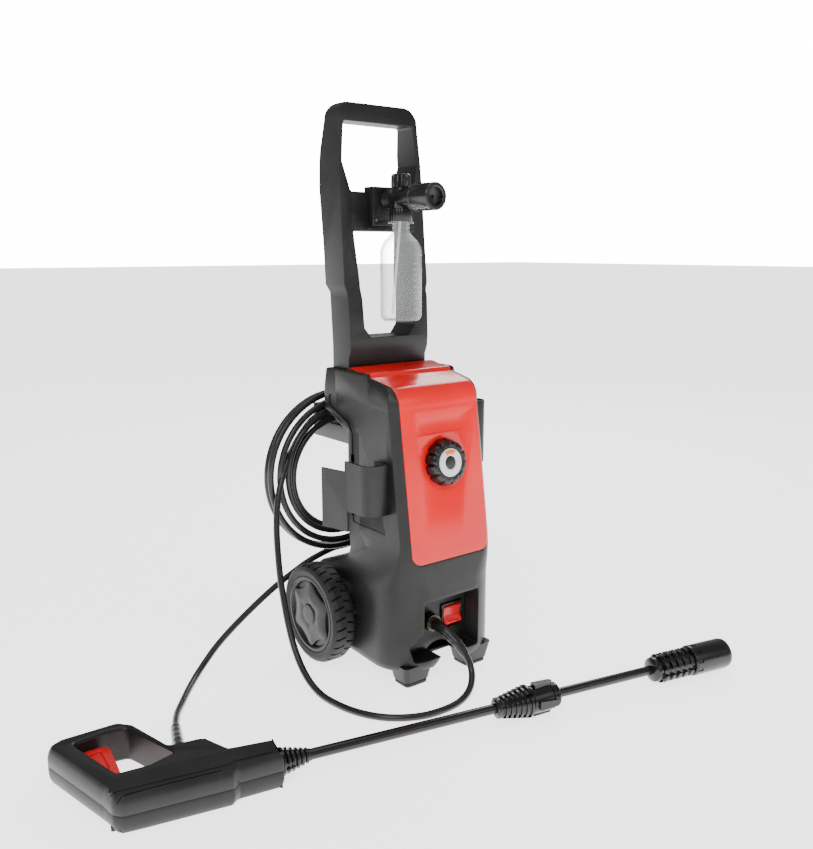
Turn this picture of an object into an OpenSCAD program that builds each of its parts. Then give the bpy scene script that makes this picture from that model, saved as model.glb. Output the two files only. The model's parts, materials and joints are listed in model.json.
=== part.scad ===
// Upright pressure washer with its gun, lance, foam bottle and high-pressure hose.
// Millimetres, +Z up. The machine faces -Y; its gun and lance lie on the floor beside it.

/* [Placing] */
// Place of the machine's centre plane along X
machine_x = 101; // [95:0.5:107]
// Place of the machine's own origin along Y
machine_y = 91; // [85:0.5:97]
// Place of the gun's front end along X
gun_x = -199; // [-205:0.5:-193]
// Place of the gun's front end along Y
gun_y = -89.5; // [-95:0.5:-83]
// Turn of the gun and lance on the floor
gun_turn = -12.75; // [-13.5:0.25:-12]
// Height of the lance's axis above the floor
lance_z = 22.5; // [22.5:0.5:24]

/* [Body] */
// Half width of the upper body
body_half = 80; // [78:0.5:82]
// Half width of the lower body in front of the wheels
bulge_half = 95; // [93:0.5:97]
// Half width of the lower body between the wheels
rear_half = 89; // [87:0.5:90]
// Foremost face of the lower body
bulge_front = -103; // [-105:0.5:-102]
// Underside of the body's shells
body_bottom = 22; // [20:1:24]
// Height of the roof where it meets the handle
roof_z = 438; // [435:1:441]
// Slope of the roof towards the front
roof_slope = 10.9; // [9:0.1:12]
// Thickness of the moulded shells
wall = 3; // [2.5:0.1:3.5]
// Backward lean of the front panel
panel_lean = 8; // [7:0.25:9]
// Half width of the front cover on the panel
cover_half = 69; // [66:0.5:70]
// Lower edge of the front cover
cover_bottom = 178; // [174:1:184]
// Half width of the recess for the outlet and the switch
recess_half = 50; // [48:1:52]
// Back wall of that recess
recess_y = -70; // [-72:0.5:-69]

/* [Handle] */
// Top of the handle
handle_top = 800; // [790:1:810]
// Widest half width of the handle
handle_half = 74.5; // [72:0.5:76]
// Middle height of the crosspiece
crosspiece_z = 652; // [648:1:656]
// Height of the crosspiece
crosspiece_h = 54; // [50:1:56]

/* [Wheels] */
// Radius of the wheels
wheel_r = 73; // [70:0.5:75]
// Width of one wheel
wheel_w = 40; // [36:0.5:42]
// Inner face of each wheel, from the centre plane
wheel_inner = 95; // [94.5:0.5:97]
// Place of the axle behind the body's origin
wheel_y = 65; // [62:0.5:68]
// Radius of the axle
axle_r = 6; // [5:0.5:7]

/* [Controls] */
// Height of the pressure knob on the panel
knob_z = 311; // [305:1:317]
// Radius of the knob
knob_r = 33; // [30:0.5:34]
// Depth of the knob
knob_depth = 14; // [12:0.5:16]
// Middle of the switch across the body
rocker_x = 25.5; // [24:0.5:27]
// Middle height of the switch
rocker_z = 76.5; // [75:0.5:78]
// Angle that the switch rocks through
rocker_swing = 18; // [14:1:18]

/* [Outlet] */
// Place of the outlet across the body
outlet_x = -16; // [-18:0.5:-15]
// Height of the outlet
outlet_z = 78; // [76:0.5:79]

/* [Foam set] */
// Height of the foam nozzle's axis
foam_z = 669; // [667:0.5:670]
// Place of the bottle's axis
bottle_y = 15; // [13:0.5:16]
// Radius of the bottle
bottle_r = 29.5; // [27:0.5:30.5]
// Underside of the bottle
bottle_bottom = 500; // [496:1:506]
// Wall of the bottle
bottle_wall = 1.5; // [1.2:0.1:2]
// Radius of the foam nozzle's barrel
foam_nozzle_r = 18.5; // [17:0.5:19]

/* [Gun and lance] */
// Thickness of the gun across its flat side
gun_thick = 45; // [42:0.5:45]
// Wall of the gun's shells
gun_wall = 3; // [2.5:0.1:3.5]
// Radius of the lance's tubes
tube_r = 6.5; // [6:0.25:7]
// Angle that the trigger is squeezed through
trigger_swing = 9; // [6:0.5:9]

/* [Hose] */
// Diameter of the high-pressure hose
hose_d = 9.4; // [9:0.1:10]
// Middle of the hose coil across the body
coil_x = -42; // [-44:0.5:-40]
// Middle height of the hose coil
coil_z = 268; // [266:0.5:270]
// Outer radius of the hose coil
coil_outer = 128; // [126:0.5:129]
// Inner radius of the hose coil
coil_inner = 78; // [77:0.5:80]

/* [Hidden] */

black_plastic = [0.11, 0.12, 0.115];
soft_black = [0.06, 0.06, 0.065];
bright_red = [0.93, 0.10, 0.13];
steel = [0.70, 0.71, 0.73];
brass = [0.78, 0.62, 0.30];
copper = [0.72, 0.42, 0.25];
clear_plastic = [0.85, 0.93, 0.95, 0.4];
off_white = [0.90, 0.90, 0.88];

eps = 0.1;              // thickness of the slices that a hull spans
reach = 300;            // longer than anything it cuts
running = 0.05;         // radial clearance of a shaft in its hole
gap = 0.4;              // clearance between other moving faces

roof_y = 50;            // where the roof is highest
seam_y = 10;            // seam between the shells at the waist
waist_y = 39;           // back wall of the waist
top_rear_y = 96;        // back of the top block
low_rear_y = 118;       // back of the lower body
side_top_z = 400.6;     // upper edge of the side faces, at y = 0
side_slope = 8.26;      // slope of that edge
panel_bevel = 11;       // bevel between the panel and the side faces
front_corner_r = 55;    // rounding of the lower body's front corners
rear_corner_r = 15;
neck_front = 46;        // the handle's neck, where it enters the roof
neck_rear = 86;

foot_x = 55;            // middle of each foot
foot_y = -78;

inlet_x = 30;           // water inlet
inlet_z = 56;
gland_x = -35;          // gland of the mains lead
gland_z = 90;

motor_y = -18;          // axis of the motor
pump_y = 12;            // axis of the pump
pinion_teeth = 12;
gear_teeth = 48;
tooth = 1;              // module of the gear pair
gear_z = 160;
gear_h = 10;
shaft_r = 5;
pinion_bore = 3.5;
piston_circle = 18;
piston_r = 5;

lance_length = 647;
pivot_u = -204;         // the trigger's pin in the gun's frame
pivot_v = 14;
branch_u = -122;        // where the hose enters the gun
coil_front = 100;       // the coil between the body and the hook's lip
coil_rear = 150;

// The hose from the outlet to the coil
sleeve_out = [
    [-16, -85, 78], [-15.5, -99, 76], [-13, -113, 70], [-9, -126, 60], [-5, -136, 48]
];
front_run = [
    [-5, -136, 48], [-3, -144, 36], [-6, -152, 24], [-16, -161, 14], [-32, -169, 8],
    [-52, -174, 5], [-76, -176, 5], [-102, -173, 5], [-126, -163, 5], [-147, -147, 5],
    [-163, -126, 5], [-174, -101, 5], [-180, -74, 5], [-183, -46, 6], [-184, -18, 14],
    [-184, 6, 30], [-183, 26, 52], [-181, 43, 78], [-179, 57, 107], [-177, 69, 138],
    [-174, 79, 171], [-170, 88, 205], [-163, 96, 238], [-151, 103, 271], [-134, 110, 301],
    [-113, 116, 327], [-88, 121, 349]
];
// The hose from the coil to the gun
gun_run = [
    [-20, 128, 141], [-44, 131, 139], [-68, 135, 132], [-93, 140, 121], [-118, 144, 107],
    [-145, 146, 92], [-172, 146, 76], [-199, 144, 60], [-225, 140, 45], [-250, 134, 30],
    [-274, 123, 16], [-298, 104, 8], [-320, 80, 5], [-340, 54, 5], [-357, 30, 7],
    [-369, 8, 10], [-379, -14, 13]
];
sleeve_gun = [
    [-379, -14, 13], [-387, -35, 16], [-395, -57, 19.5], [-402, -79, 22], [-406.5, -99, 22.5]
];

// ---- helpers ----

module machine() translate([machine_x, machine_y, 0]) children();

// The gun's own frame: X along the lance, Y away from the operator's near side, Z up
module gun() translate([gun_x, gun_y, lance_z]) rotate(gun_turn) children();

function panel_y(z) = recess_y - (400 - z) * tan(panel_lean);

// Where the side faces end at the top of the panel
side_front = panel_y(side_top_z + recess_y * tan(side_slope));

// A frame on the front panel whose Z points out of it
module on_panel(z) translate([0, panel_y(z), z]) rotate([90 - panel_lean, 0, 0]) children();

// A cylinder along X, Y or Z from one place to another
module rod(r, length) cylinder(r = r, h = length, $fn = 48);
module rod_x(r, from, to, y = 0, z = 0) translate([from, y, z]) rotate([0, 90, 0]) rod(r, to - from);
module rod_y(r, from, to, x = 0, z = 0) translate([x, to, z]) rotate([90, 0, 0]) rod(r, to - from);
module rod_z(r, from, to, x = 0, y = 0) translate([x, y, from]) rod(r, to - from);

// A profile given as (y, z), extruded across the body
module across(half) translate([-half, 0, 0]) rotate([90, 0, 90]) linear_extrude(2 * half) children();
// A profile given as (x, z), extruded from one y to another
module through(from, to) translate([0, to, 0]) rotate([90, 0, 0]) linear_extrude(to - from) children();

function arc(cx, cy, r, from, to, steps = 6) =
    [for (k = [0:steps]) let (a = from + (to - from) * k / steps) [cx + r * cos(a), cy + r * sin(a)]];

// ---- body shells ----

module level(z, tilt = 0) translate([0, 0, z]) rotate([tilt, 0, 0]) linear_extrude(eps) children();

module upper_outline(half, front, rear, i) polygon([
    [-half + i, rear - i], [-half + i, front + panel_bevel + i], [-half + panel_bevel + i, front + i],
    [half - panel_bevel - i, front + i], [half - i, front + panel_bevel + i], [half - i, rear - i]
]);

module lower_outline(front, rear, i) polygon(concat(
    arc(bulge_half - front_corner_r, front + front_corner_r, front_corner_r - i, -90, 0, 8),
    [[bulge_half - i, -12]],
    arc(rear_half - rear_corner_r, rear - rear_corner_r, rear_corner_r - i, 0, 90, 4),
    arc(rear_corner_r - rear_half, rear - rear_corner_r, rear_corner_r - i, 90, 180, 4),
    [[i - bulge_half, -12]],
    arc(front_corner_r - bulge_half, front + front_corner_r, front_corner_r - i, 180, 270, 8)
));

module roof_outline(rear, i) polygon([
    [i - 78, rear - i], [i - 71, i - 54], [71 - i, i - 54], [78 - i, rear - i]
]);

// The whole body as one closed shape, shrunk by i
module body_solid(i) {
    // front column
    hull() {
        level(110) upper_outline(body_half, panel_y(190), waist_y, i);
        level(190) upper_outline(body_half, panel_y(190), waist_y, i);
        level(side_top_z - i, side_slope) upper_outline(body_half, side_front, waist_y, i);
        level(roof_z - roof_y * tan(roof_slope) - i, roof_slope) roof_outline(waist_y, i);
    }
    // top block
    hull() {
        level(345 + i) upper_outline(body_half, -20, waist_y, i);
        level(372 + i) upper_outline(body_half, -20, top_rear_y, i);
        level(404 - i) upper_outline(body_half, -20, top_rear_y, i);
        level(432 - i) upper_outline(body_half - 4, -8, top_rear_y - 6, i);
    }
    // lower body
    hull() {
        level(i > 0 ? 10 : body_bottom) lower_outline(bulge_front + 5, low_rear_y, i + 4);
        level(body_bottom + 14) lower_outline(bulge_front, low_rear_y, i);
        level(130 - i) lower_outline(bulge_front, low_rear_y, i);
        level(150 - i) lower_outline(bulge_front, 60, i);
        level(200 - i) upper_outline(body_half, panel_y(200), -6, i);
    }
}

module recess_outline() polygon([
    [recess_half, 122], [-recess_half, 122], [-recess_half, 80], [-70, 58], [-64, 36], [recess_half, 36]
]);

// The recess in the front, grown by i for the shell around it
module recess(i) through(-reach, recess_y + i) offset(delta = i) recess_outline();

// The wall of the whole body
module body_wall() difference() {
    body_solid(0);
    difference() {
        body_solid(wall);
        recess(wall);
    }
    recess(0);
}

// Everything that belongs to the front shell, behind or before the seam
module seam_region() across(reach) polygon([
    [-reach, 0], [92, 0], [92, 128], [-6, 186], [seam_y, 205], [seam_y, 345],
    [65, 375], [65, 500], [-reach, 500]
]);

// The area that the red cover takes out of the wall
module cover_region(grow = 0) {
    through(-reach, -30) offset(delta = grow) polygon(concat(
        arc(cover_half - 15, cover_bottom + 15, 15, -90, 0),
        [[cover_half, 500], [-cover_half, 500]],
        arc(15 - cover_half, cover_bottom + 15, 15, 180, 270)
    ));
    translate([0, 0, 385]) linear_extrude(100) offset(delta = grow) polygon([
        [-cover_half, -120], [-cover_half, -54], [-76, neck_front - 1],
        [76, neck_front - 1], [cover_half, -54], [cover_half, -120]
    ]);
}

// Where the handle's neck goes through the roof
module neck_hole() translate([-70.2, neck_front - 0.2, 405])
    cube([140.4, neck_rear - neck_front + 0.4, 60]);

module front_shell() color(black_plastic) machine() {
    difference() {
        intersection() {
            body_wall();
            seam_region();
        }
        cover_region(0.3);
        neck_hole();
        // outlet, switch and axle
        rod_y(10, recess_y - 5, recess_y + 5, outlet_x, outlet_z);
        translate([rocker_x - 19.5, recess_y - 5, rocker_z - 20.5]) cube([39, 12, 41]);
        rod_x(axle_r + gap, -reach, reach, wheel_y, wheel_r);
        // arch between the feet
        through(-reach, -60) polygon(concat(
            [[36, 0], [36, 14]], arc(0, 14, 30, 40, 140), [[-36, 14], [-36, 0]]
        ));
    }
    // the two feet
    for (side = [-1, 1]) translate([side * foot_x, foot_y, 6]) linear_extrude(body_bottom + 8)
        offset(r = 6) square([30, 24], center = true);
}

module rear_shell() color(black_plastic) machine() difference() {
    body_wall();
    seam_region();
    neck_hole();
    rod_y(9.2, 100, 130, inlet_x, inlet_z);
    rod_y(9.7, 100, 130, gland_x, gland_z);
    screw_set();
    // cooling slots in the waist
    for (k = [0:6]) translate([0, waist_y - 5, 215 + 16 * k]) cube([70, 20, 6], center = true);
    for (side = [-1, 1], k = [0:3]) translate([side * body_half, 25, 230 + 26 * k])
        cube([12, 7, 12], center = true);
}

module front_cover() color(bright_red) machine() difference() {
    intersection() {
        difference() {
            body_solid(0);
            body_solid(wall);
        }
        cover_region();
    }
    on_panel(knob_z) {
        translate([0, 0, -1.2]) cylinder(r = knob_r + 4, h = 10, $fn = 72);
        translate([0, 0, -10]) cylinder(r = 6, h = 20, $fn = 32);
    }
    // shallow blank badge area
    on_panel(362) translate([-38, -10, -0.8]) cube([76, 20, 5]);
}

module base_plate() color(black_plastic) machine() difference() {
    translate([0, 0, body_bottom + 1]) linear_extrude(wall) lower_outline(bulge_front, low_rear_y, wall + 2.6);
    translate([-reach, -reach, 0]) cube([2 * reach, reach - 59, 60]);
    for (k = [0:7]) translate([-35 + 10 * k, 40, body_bottom]) cube([5, 60, 20], center = true);
}

module foot_pads() color(soft_black) machine() for (side = [-1, 1])
    translate([side * foot_x, foot_y, 0]) linear_extrude(6) offset(r = 5) square([30, 24], center = true);

// ---- handle and holders ----

module handle_side() polygon([
    [neck_front, 408], [neck_front, 446], [41, 458], [40, 475], [43, 531], [47, 545], [58, 685],
    [62, 720], [67, 783], [72, handle_top], [94, handle_top], [100, 787], [109, 737], [111, 685],
    [102, 613], [96, 550], [90, 539], [neck_rear, 465], [neck_rear, 408]
]);

module handle_front() difference() {
    polygon(concat(
        [[-70, 408], [70, 408], [70, 452], [71, 540], [handle_half, 551], [73, 685], [73, 720], [69, 776]],
        arc(49, 780, 20, 0, 90), arc(-49, 780, 20, 90, 180),
        [[-69, 776], [-73, 720], [-73, 685], [-handle_half, 551], [-71, 540], [-70, 452]]
    ));
    // upper opening
    offset(r = 4) offset(delta = -4) polygon([
        [-60, 774], [-66, 720], [-55, crosspiece_z + crosspiece_h / 2], [55, crosspiece_z + crosspiece_h / 2],
        [66, 720], [60, 774]
    ]);
    // lower opening
    polygon([
        [-54, crosspiece_z - crosspiece_h / 2], [-48, 557], [-45, 490], [-34, 476],
        [34, 476], [45, 490], [48, 557], [54, crosspiece_z - crosspiece_h / 2]
    ]);
}

module handle() color(black_plastic) machine() difference() {
    intersection() {
        across(reach) handle_side();
        through(0, 150) handle_front();
    }
    translate([-26, 0, 632]) cube([52, 66, 80]);
    // hollow behind the crosspiece
    translate([-45, 78, crosspiece_z - 20]) cube([90, 40, 40]);
    // opening of the neck inside the body
    translate([-60, neck_front + 5, 400]) cube([120, neck_rear - neck_front - 10, 45]);
}

module nozzle_rack() color(black_plastic) machine() difference() {
    translate([-26, 46, 632]) cube([52, 20, 54]);
    rod_y(11 + running, 40, 64, 0, foam_z);
    for (side = [-1, 1]) rod_y(1.6, 40, 64, side * 20, 640);
}

module left_holder() color(black_plastic) machine() difference() {
    translate([0, 0, 215]) linear_extrude(100) polygon(concat(
        [[-body_half, -62]], arc(-97, -44, 18, 270, 180),
        [[-115, -12], [-126, 35], [-123, 36], [-112, -11]], arc(-97, -44, 15, 180, 270),
        [[-body_half - 3, -59], [-body_half - 3, -32], [-body_half, -32]]
    ));
    translate([-150, -100, 200]) cube([80, 88, 45]);
    translate([-150, -8, 300]) cube([80, 88, 45]);
}

module right_bracket() color(black_plastic) machine() translate([0, 0, 293]) linear_extrude(92)
    polygon(concat(
        [[body_half, -59]], arc(91, -48, 11, -90, 0), [[102, -28], [99, -28]],
        arc(91, -48, 8, 0, -90), [[body_half + 3, -56], [body_half + 3, -34], [body_half, -34]]
    ));

module hose_hook() color(black_plastic) machine() {
    translate([coil_x - 26, waist_y, 296]) cube([52, 5, 48]);
    difference() {
        translate([coil_x - 16, waist_y + 5, 318]) cube([32, coil_rear + 12 - waist_y - 5, 26]);
        translate([coil_x - 12, waist_y + 10, 314]) cube([24, coil_rear - waist_y - 5, 26]);
    }
    translate([coil_x - 16, coil_rear + 4, 344]) cube([32, 8, 24]);
}

// ---- running gear ----

module axle() color(steel) machine() rod_x(axle_r, -wheel_inner - 33, wheel_inner + 33, wheel_y, wheel_r);

module axle_clips() color(steel) machine() for (side = [-1, 1]) difference() {
    rod_x(10, side * 82 - 1, side * 82 + 1, wheel_y, wheel_r);
    rod_x(axle_r, side * 82 - 2, side * 82 + 2, wheel_y, wheel_r);
}

module wheel_frame(side) machine() translate([side * wheel_inner, wheel_y, wheel_r])
    rotate([0, side * 90, 0]) children();

module tyre(side) color(soft_black) wheel_frame(side) difference() {
    rotate_extrude($fn = 96) polygon([
        [56, 2], [66, 1], [wheel_r - 2, 5], [wheel_r, 11], [wheel_r, wheel_w - 11],
        [wheel_r - 2, wheel_w - 5], [66, wheel_w - 1], [56, wheel_w - 3]
    ]);
    for (a = [0:15:345]) rotate(a) translate([wheel_r, 0, wheel_w / 2])
        cube([4, 3, wheel_w + 2], center = true);
}

module hub(side) color(black_plastic) wheel_frame(side) difference() {
    rotate_extrude($fn = 96) polygon([
        [axle_r + running, 0], [14, 0], [14, 8], [50, 8], [50, 3], [56, 2], [56, wheel_w - 3],
        [50, wheel_w - 4], [44, wheel_w - 9], [18, wheel_w - 5], [14, wheel_w], [0, wheel_w],
        [0, wheel_w - 4], [axle_r + running, wheel_w - 4]
    ]);
    for (a = [0:60:300]) rotate(a) translate([34, 0, wheel_w - 8]) rotate(45) cube([12, 12, 8]);
}

module tyre_left() tyre(-1);
module hub_left() hub(-1);
module tyre_right() tyre(1);
module hub_right() hub(1);

// ---- controls ----

module switch_box() color(soft_black) machine() translate([rocker_x, 0, rocker_z]) difference() {
    translate([-21, -66, -18]) cube([42, 26, 36]);
    translate([-16, -67, -17]) cube([32, 13, 34]);
    rod_x(2 + running, -30, 30, -62, 0);
}

module rocker_bezel() color(soft_black) machine() translate([rocker_x, 0, rocker_z]) difference() {
    translate([-19.5, -73, -20.5]) cube([39, 7, 41]);
    translate([-16.5, -80, -16.5]) cube([33, 20, 33]);
}

module rocker() color(bright_red) machine() translate([rocker_x, -62, rocker_z])
    rotate([-rocker_swing / 2, 0, 0]) {
        across(15.5) polygon([[2, -13], [-12, -13.5], [-10, 0], [-12, 13.5], [2, 13]]);
        rod_x(2, -20.5, 20.5);
    }

module selector_box() color(soft_black) machine() on_panel(knob_z) difference() {
    translate([-20, -20, -17]) cube([40, 40, 12]);
    translate([0, 0, -15]) cylinder(r = 4 + running, h = 30, $fn = 32);
}

module knob() color(soft_black) machine() on_panel(knob_z) {
    difference() {
        translate([0, 0, -0.7]) cylinder(r1 = knob_r, r2 = knob_r - 4, h = knob_depth + 0.7, $fn = 72);
        for (a = [0:30:330]) rotate(a) translate([knob_r + 1, 0, 2]) cylinder(r = 3, h = 20, $fn = 24);
        translate([0, 0, knob_depth - 2]) cylinder(r = 19.5, h = 5, $fn = 72);
    }
    translate([0, 0, -14]) cylinder(r = 4, h = 14, $fn = 32);
}

module knob_ring() color(off_white) machine() on_panel(knob_z) difference() {
    translate([0, 0, knob_depth - 2]) cylinder(r = 19.5, h = 2.5, $fn = 72);
    translate([0, 0, knob_depth - 1]) cylinder(r = 9.5, h = 5, $fn = 48);
}

// ---- water and mains connections ----

module outlet_fitting() color(brass) machine() difference() {
    rod_y(8.5, -85, -40, outlet_x, outlet_z);
    rod_y(3, -90, -30, outlet_x, outlet_z);
}

module outlet_nut() color(soft_black) machine() difference() {
    rod_y(13, -82, -71, outlet_x, outlet_z);
    rod_y(8.5, -90, -60, outlet_x, outlet_z);
    for (a = [0:30:330]) translate([outlet_x, 0, outlet_z]) rotate([0, a, 0]) rod_y(1.2, -90, -60, 13.4);
}

module water_inlet() color(brass) machine() difference() {
    union() {
        rod_y(9, 60, 118, inlet_x, inlet_z);
        rod_y(8, 118, 138, inlet_x, inlet_z);
    }
    rod_y(5, 50, 140, inlet_x, inlet_z);
}

module mains_gland() color(soft_black) machine() difference() {
    union() {
        rod_y(9.5, 106, 118, gland_x, gland_z);
        rod_y(12, 118, 128, gland_x, gland_z);
    }
    rod_y(4.1, 100, 132, gland_x, gland_z);
}

module screw_set() for (side = [-1, 1]) {
    for (z = [40, 100]) rod_y(2, 98, low_rear_y + 0.5, side * 68, z);
    for (z = [384, 402]) rod_y(2, 80, top_rear_y + 0.5, side * 50, z);
}

module body_screws() color(steel) machine() {
    screw_set();
    for (side = [-1, 1]) rod_y(1.6, 45, 64, side * 20, 640);
}

module stop_switch() color(soft_black) machine() translate([-62, -8, 56]) {
    cube([23, 26, 30]);
    translate([5, 5, 30]) cube([10, 8, 4]);
}

module capacitor() color(steel) machine() rod_z(16, 334, 400, 42, 16);

// ---- motor ----

module stator() color(steel) machine() difference() {
    rod_z(48, 180, 300, 0, motor_y);
    rod_z(31, 184, 296, 0, motor_y);
    rod_z(11, 170, 310, 0, motor_y);
}

module gearbox_plate() color(steel) machine() difference() {
    translate([-60, -70, 172]) cube([120, 105, 8]);
    rod_z(11, 170, 182, 0, motor_y);
    rod_z(11, 170, 182, 0, pump_y);
}

module bearing(z, h, y) difference() {
    rod_z(11, z, z + h, 0, y);
    rod_z(shaft_r + running, z - 1, z + h + 1, 0, y);
}

module bearings() color(steel) machine() {
    bearing(172, 8, motor_y);
    bearing(296, 4, motor_y);
    bearing(172, 8, pump_y);
}

module armature() color(copper) machine() {
    rod_z(29, 195, 285, 0, motor_y);
    rod_z(shaft_r, 171, 326, 0, motor_y);
    rod_z(pinion_bore, 158, 171, 0, motor_y);
}

module fan() color(soft_black) machine() translate([0, motor_y, 304]) difference() {
    union() {
        cylinder(r = 40, h = 2, $fn = 72);
        cylinder(r = 12, h = 18, $fn = 48);
        for (a = [0:45:315]) rotate(a) translate([10, -1, 0]) cube([29, 2, 16]);
    }
    translate([0, 0, -1]) cylinder(r = shaft_r, h = 30, $fn = 48);
}

// A spur gear whose flanks are involutes of a 20 degree rack, cut a little thin to run free
function involute(base, t) =
    [base * (cos(t) + t * PI / 180 * sin(t)), base * (sin(t) - t * PI / 180 * cos(t))];
function turned(p, a) = [p[0] * cos(a) - p[1] * sin(a), p[0] * sin(a) + p[1] * cos(a)];
function flank_end(base, r) = sqrt(max(0, pow(r / base, 2) - 1)) * 180 / PI;

module spur_gear(teeth, h) {
    pitch = teeth * tooth / 2;
    base = pitch * cos(20);
    tip = pitch + 0.8 * tooth;
    root = pitch - 1.1 * tooth;
    roll = (tan(20) * 180 / PI) - 20;
    half = 90 / teeth - 0.12 / pitch * 180 / PI;
    steps = 4;
    flank = [for (k = [0:steps]) involute(base, flank_end(base, tip) * k / steps)];
    linear_extrude(h) {
        circle(r = root, $fn = 4 * teeth);
        for (k = [0:teeth - 1]) rotate(360 * k / teeth) polygon(concat(
            [[root * 0.9, -root * sin(half) * 0.8]],
            [for (p = flank) turned(p, -half - roll)],
            [for (j = [steps:-1:0]) let (p = flank[j]) turned([p[0], -p[1]], half + roll)],
            [[root * 0.9, root * sin(half) * 0.8]]
        ));
    }
}

module pinion() color(steel) machine() translate([0, motor_y, gear_z]) difference() {
    rotate(90 + 180 / pinion_teeth) spur_gear(pinion_teeth, gear_h);
    translate([0, 0, -1]) cylinder(r = pinion_bore, h = gear_h + 2, $fn = 48);
}

module drive_gear() color(off_white) machine() translate([0, pump_y, gear_z]) difference() {
    rotate(-90) spur_gear(gear_teeth, gear_h);
    translate([0, 0, -1]) cylinder(r = shaft_r, h = gear_h + 2, $fn = 48);
}

// ---- pump ----

module swash_plate() color(steel) machine() {
    difference() {
        rod_z(29, 128, 152, 0, pump_y);
        translate([0, pump_y, 134]) rotate([-11, 0, 0]) translate([-50, -50, -40]) cube([100, 100, 40]);
    }
    rod_z(shaft_r, 152, 179, 0, pump_y);
}

module pump_case() color(steel) machine() difference() {
    rod_z(38, 95, 157, 0, pump_y);
    rod_z(33, 90, 160, 0, pump_y);
}

module pump_head() color(steel) machine() difference() {
    union() {
        rod_z(38, 45, 95, 0, pump_y);
        rod_y(7, -40, 10, outlet_x, outlet_z);
        rod_y(9, 10, 60, inlet_x, inlet_z);
    }
    for (a = [30:120:270]) translate([0, pump_y, 0]) rotate(a)
        rod_z(piston_r + running, 78, 100, piston_circle);
}

module pistons() color(steel) machine() translate([0, pump_y, 0]) for (a = [30:120:270]) rotate(a)
    rod_z(piston_r, 80, 124, piston_circle);

module piston_springs() color(steel) machine() translate([0, pump_y, 0]) for (a = [30:120:270]) rotate(a)
    translate([piston_circle, 0, 0]) for (k = [0:4]) translate([0, 0, 97.5 + 5 * k]) rotate_extrude($fn = 32)
        translate([piston_r + 1.4, 0]) circle(r = 1, $fn = 16);

// ---- foam set ----

module foam_body() color(soft_black) machine() difference() {
    union() {
        rod_y(11, 46, 62, 0, foam_z);
        rod_y(12, 30, 46 - gap, 0, foam_z);
        for (k = [0:3]) rod_y(13.5, 31 + 4 * k, 33.4 + 4 * k, 0, foam_z);
        rod_y(13.5, -17, 31, 0, foam_z);
        rod_y(8, -44, -16, 0, foam_z);
        rod_z(13, 655, foam_z, 0, bottle_y);
        rod_z(12, foam_z, 683.5, 0, bottle_y);
    }
    rod_y(2.5, -50, 70, 0, foam_z);
    rod_z(4 + running, 674, 690, 0, bottle_y);
}

module foam_cap() color(soft_black) machine() difference() {
    rod_z(16, 638, 655, 0, bottle_y);
    rod_z(12 + gap, 630, 652.6, 0, bottle_y);
}

module dip_tube() color(clear_plastic) machine() translate([0, bottle_y, 652.2])
    rotate([0, 186, 0]) cylinder(r = 2, h = 143, $fn = 24);

module foam_knob() color(soft_black) machine() difference() {
    union() {
        rod_z(14, 684, 702, 0, bottle_y);
        rod_z(4, 676, 686, 0, bottle_y);
    }
    for (a = [0:45:315]) translate([0, bottle_y, 0]) rotate(a) rod_z(2.5, 686, 710, 15);
}

module foam_nozzle() color(soft_black) machine() difference() {
    rod_y(foam_nozzle_r, -62, -17 - gap, 0, foam_z);
    rod_y(8 + running, -44 - gap, 0, 0, foam_z);
    rod_y(2, -62, -40, 0, foam_z);
    rod_y(12, -70, -54, 0, foam_z);
}

module bottle() color(clear_plastic) machine() translate([0, bottle_y, bottle_bottom])
    rotate_extrude($fn = 96) polygon([
        [0, 2], [bottle_r - bottle_wall - 4, 2], [bottle_r - bottle_wall, 6],
        [bottle_r - bottle_wall, 96], [bottle_r - bottle_wall - 5, 110],
        [12 - bottle_wall, 123], [12 - bottle_wall, 152], [12, 152], [12, 137.5],
        [18.5, 137.5], [18.5, 134.5], [12, 134.5], [12, 124], [bottle_r - 4, 111],
        [bottle_r, 97], [bottle_r, 4], [bottle_r - 3, 0], [0, 0]
    ]);

// ---- gun ----

module gun_outline() polygon([
    [-24, -20], [-24, 17], [-76, 21], [-94, 52], [-102, 56], [-136, 56], [-166, 119], [-173, 127],
    [-184, 133], [-250, 121], [-262, 117], [-268, 108], [-218, -2], [-211, -23],
    [-202, -30], [-84, -30], [-76, -22]
]);

module grip_opening() polygon([
    [-237, 103], [-198, 115], [-184, 119], [-176, 114], [-134, 40], [-136, 34], [-165, 24], [-200, 22]
]);

// Where the trigger passes through the wall of the grip
module trigger_slot() linear_extrude(19, center = true) polygon([
    [-252, 96], [-236, 101.5], [-190, 101.5], [-188, 16], [-194, 3], [-213, 3], [-216, 20]
]);

module gun_half(up) {
    difference() {
        mirror([0, 0, up ? 0 : 1]) difference() {
            linear_extrude(gun_thick / 2) difference() {
                gun_outline();
                grip_opening();
            }
            linear_extrude(gun_thick / 2 - gun_wall) offset(delta = -gun_wall) difference() {
                gun_outline();
                grip_opening();
            }
        }
        trigger_slot();
        rod_x(10, -40, -20);
        rod_y(6, 45, 60, branch_u);
    }
    // boss that holds the trigger's pin
    mirror([0, 0, up ? 0 : 1]) difference() {
        rod_z(6, 9.5, gun_thick / 2 - 1, pivot_u, pivot_v);
        rod_z(3, 0, 18, pivot_u, pivot_v);
    }
}

module gun_shell_upper() color(black_plastic) gun() gun_half(true);
module gun_shell_lower() color(black_plastic) gun() gun_half(false);

module gun_valve() color(brass) gun() difference() {
    union() {
        rod_x(8, -176, -60);
        rod_x(10, -60, -24);
        rod_y(6, 0, 56, branch_u);
    }
    rod_x(tube_r + running, -62, -20);
    rod_x(2.5, -140, -50);
}

module trigger_pin() color(steel) gun() rod_z(3, -18, 18, pivot_u, pivot_v);

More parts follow.
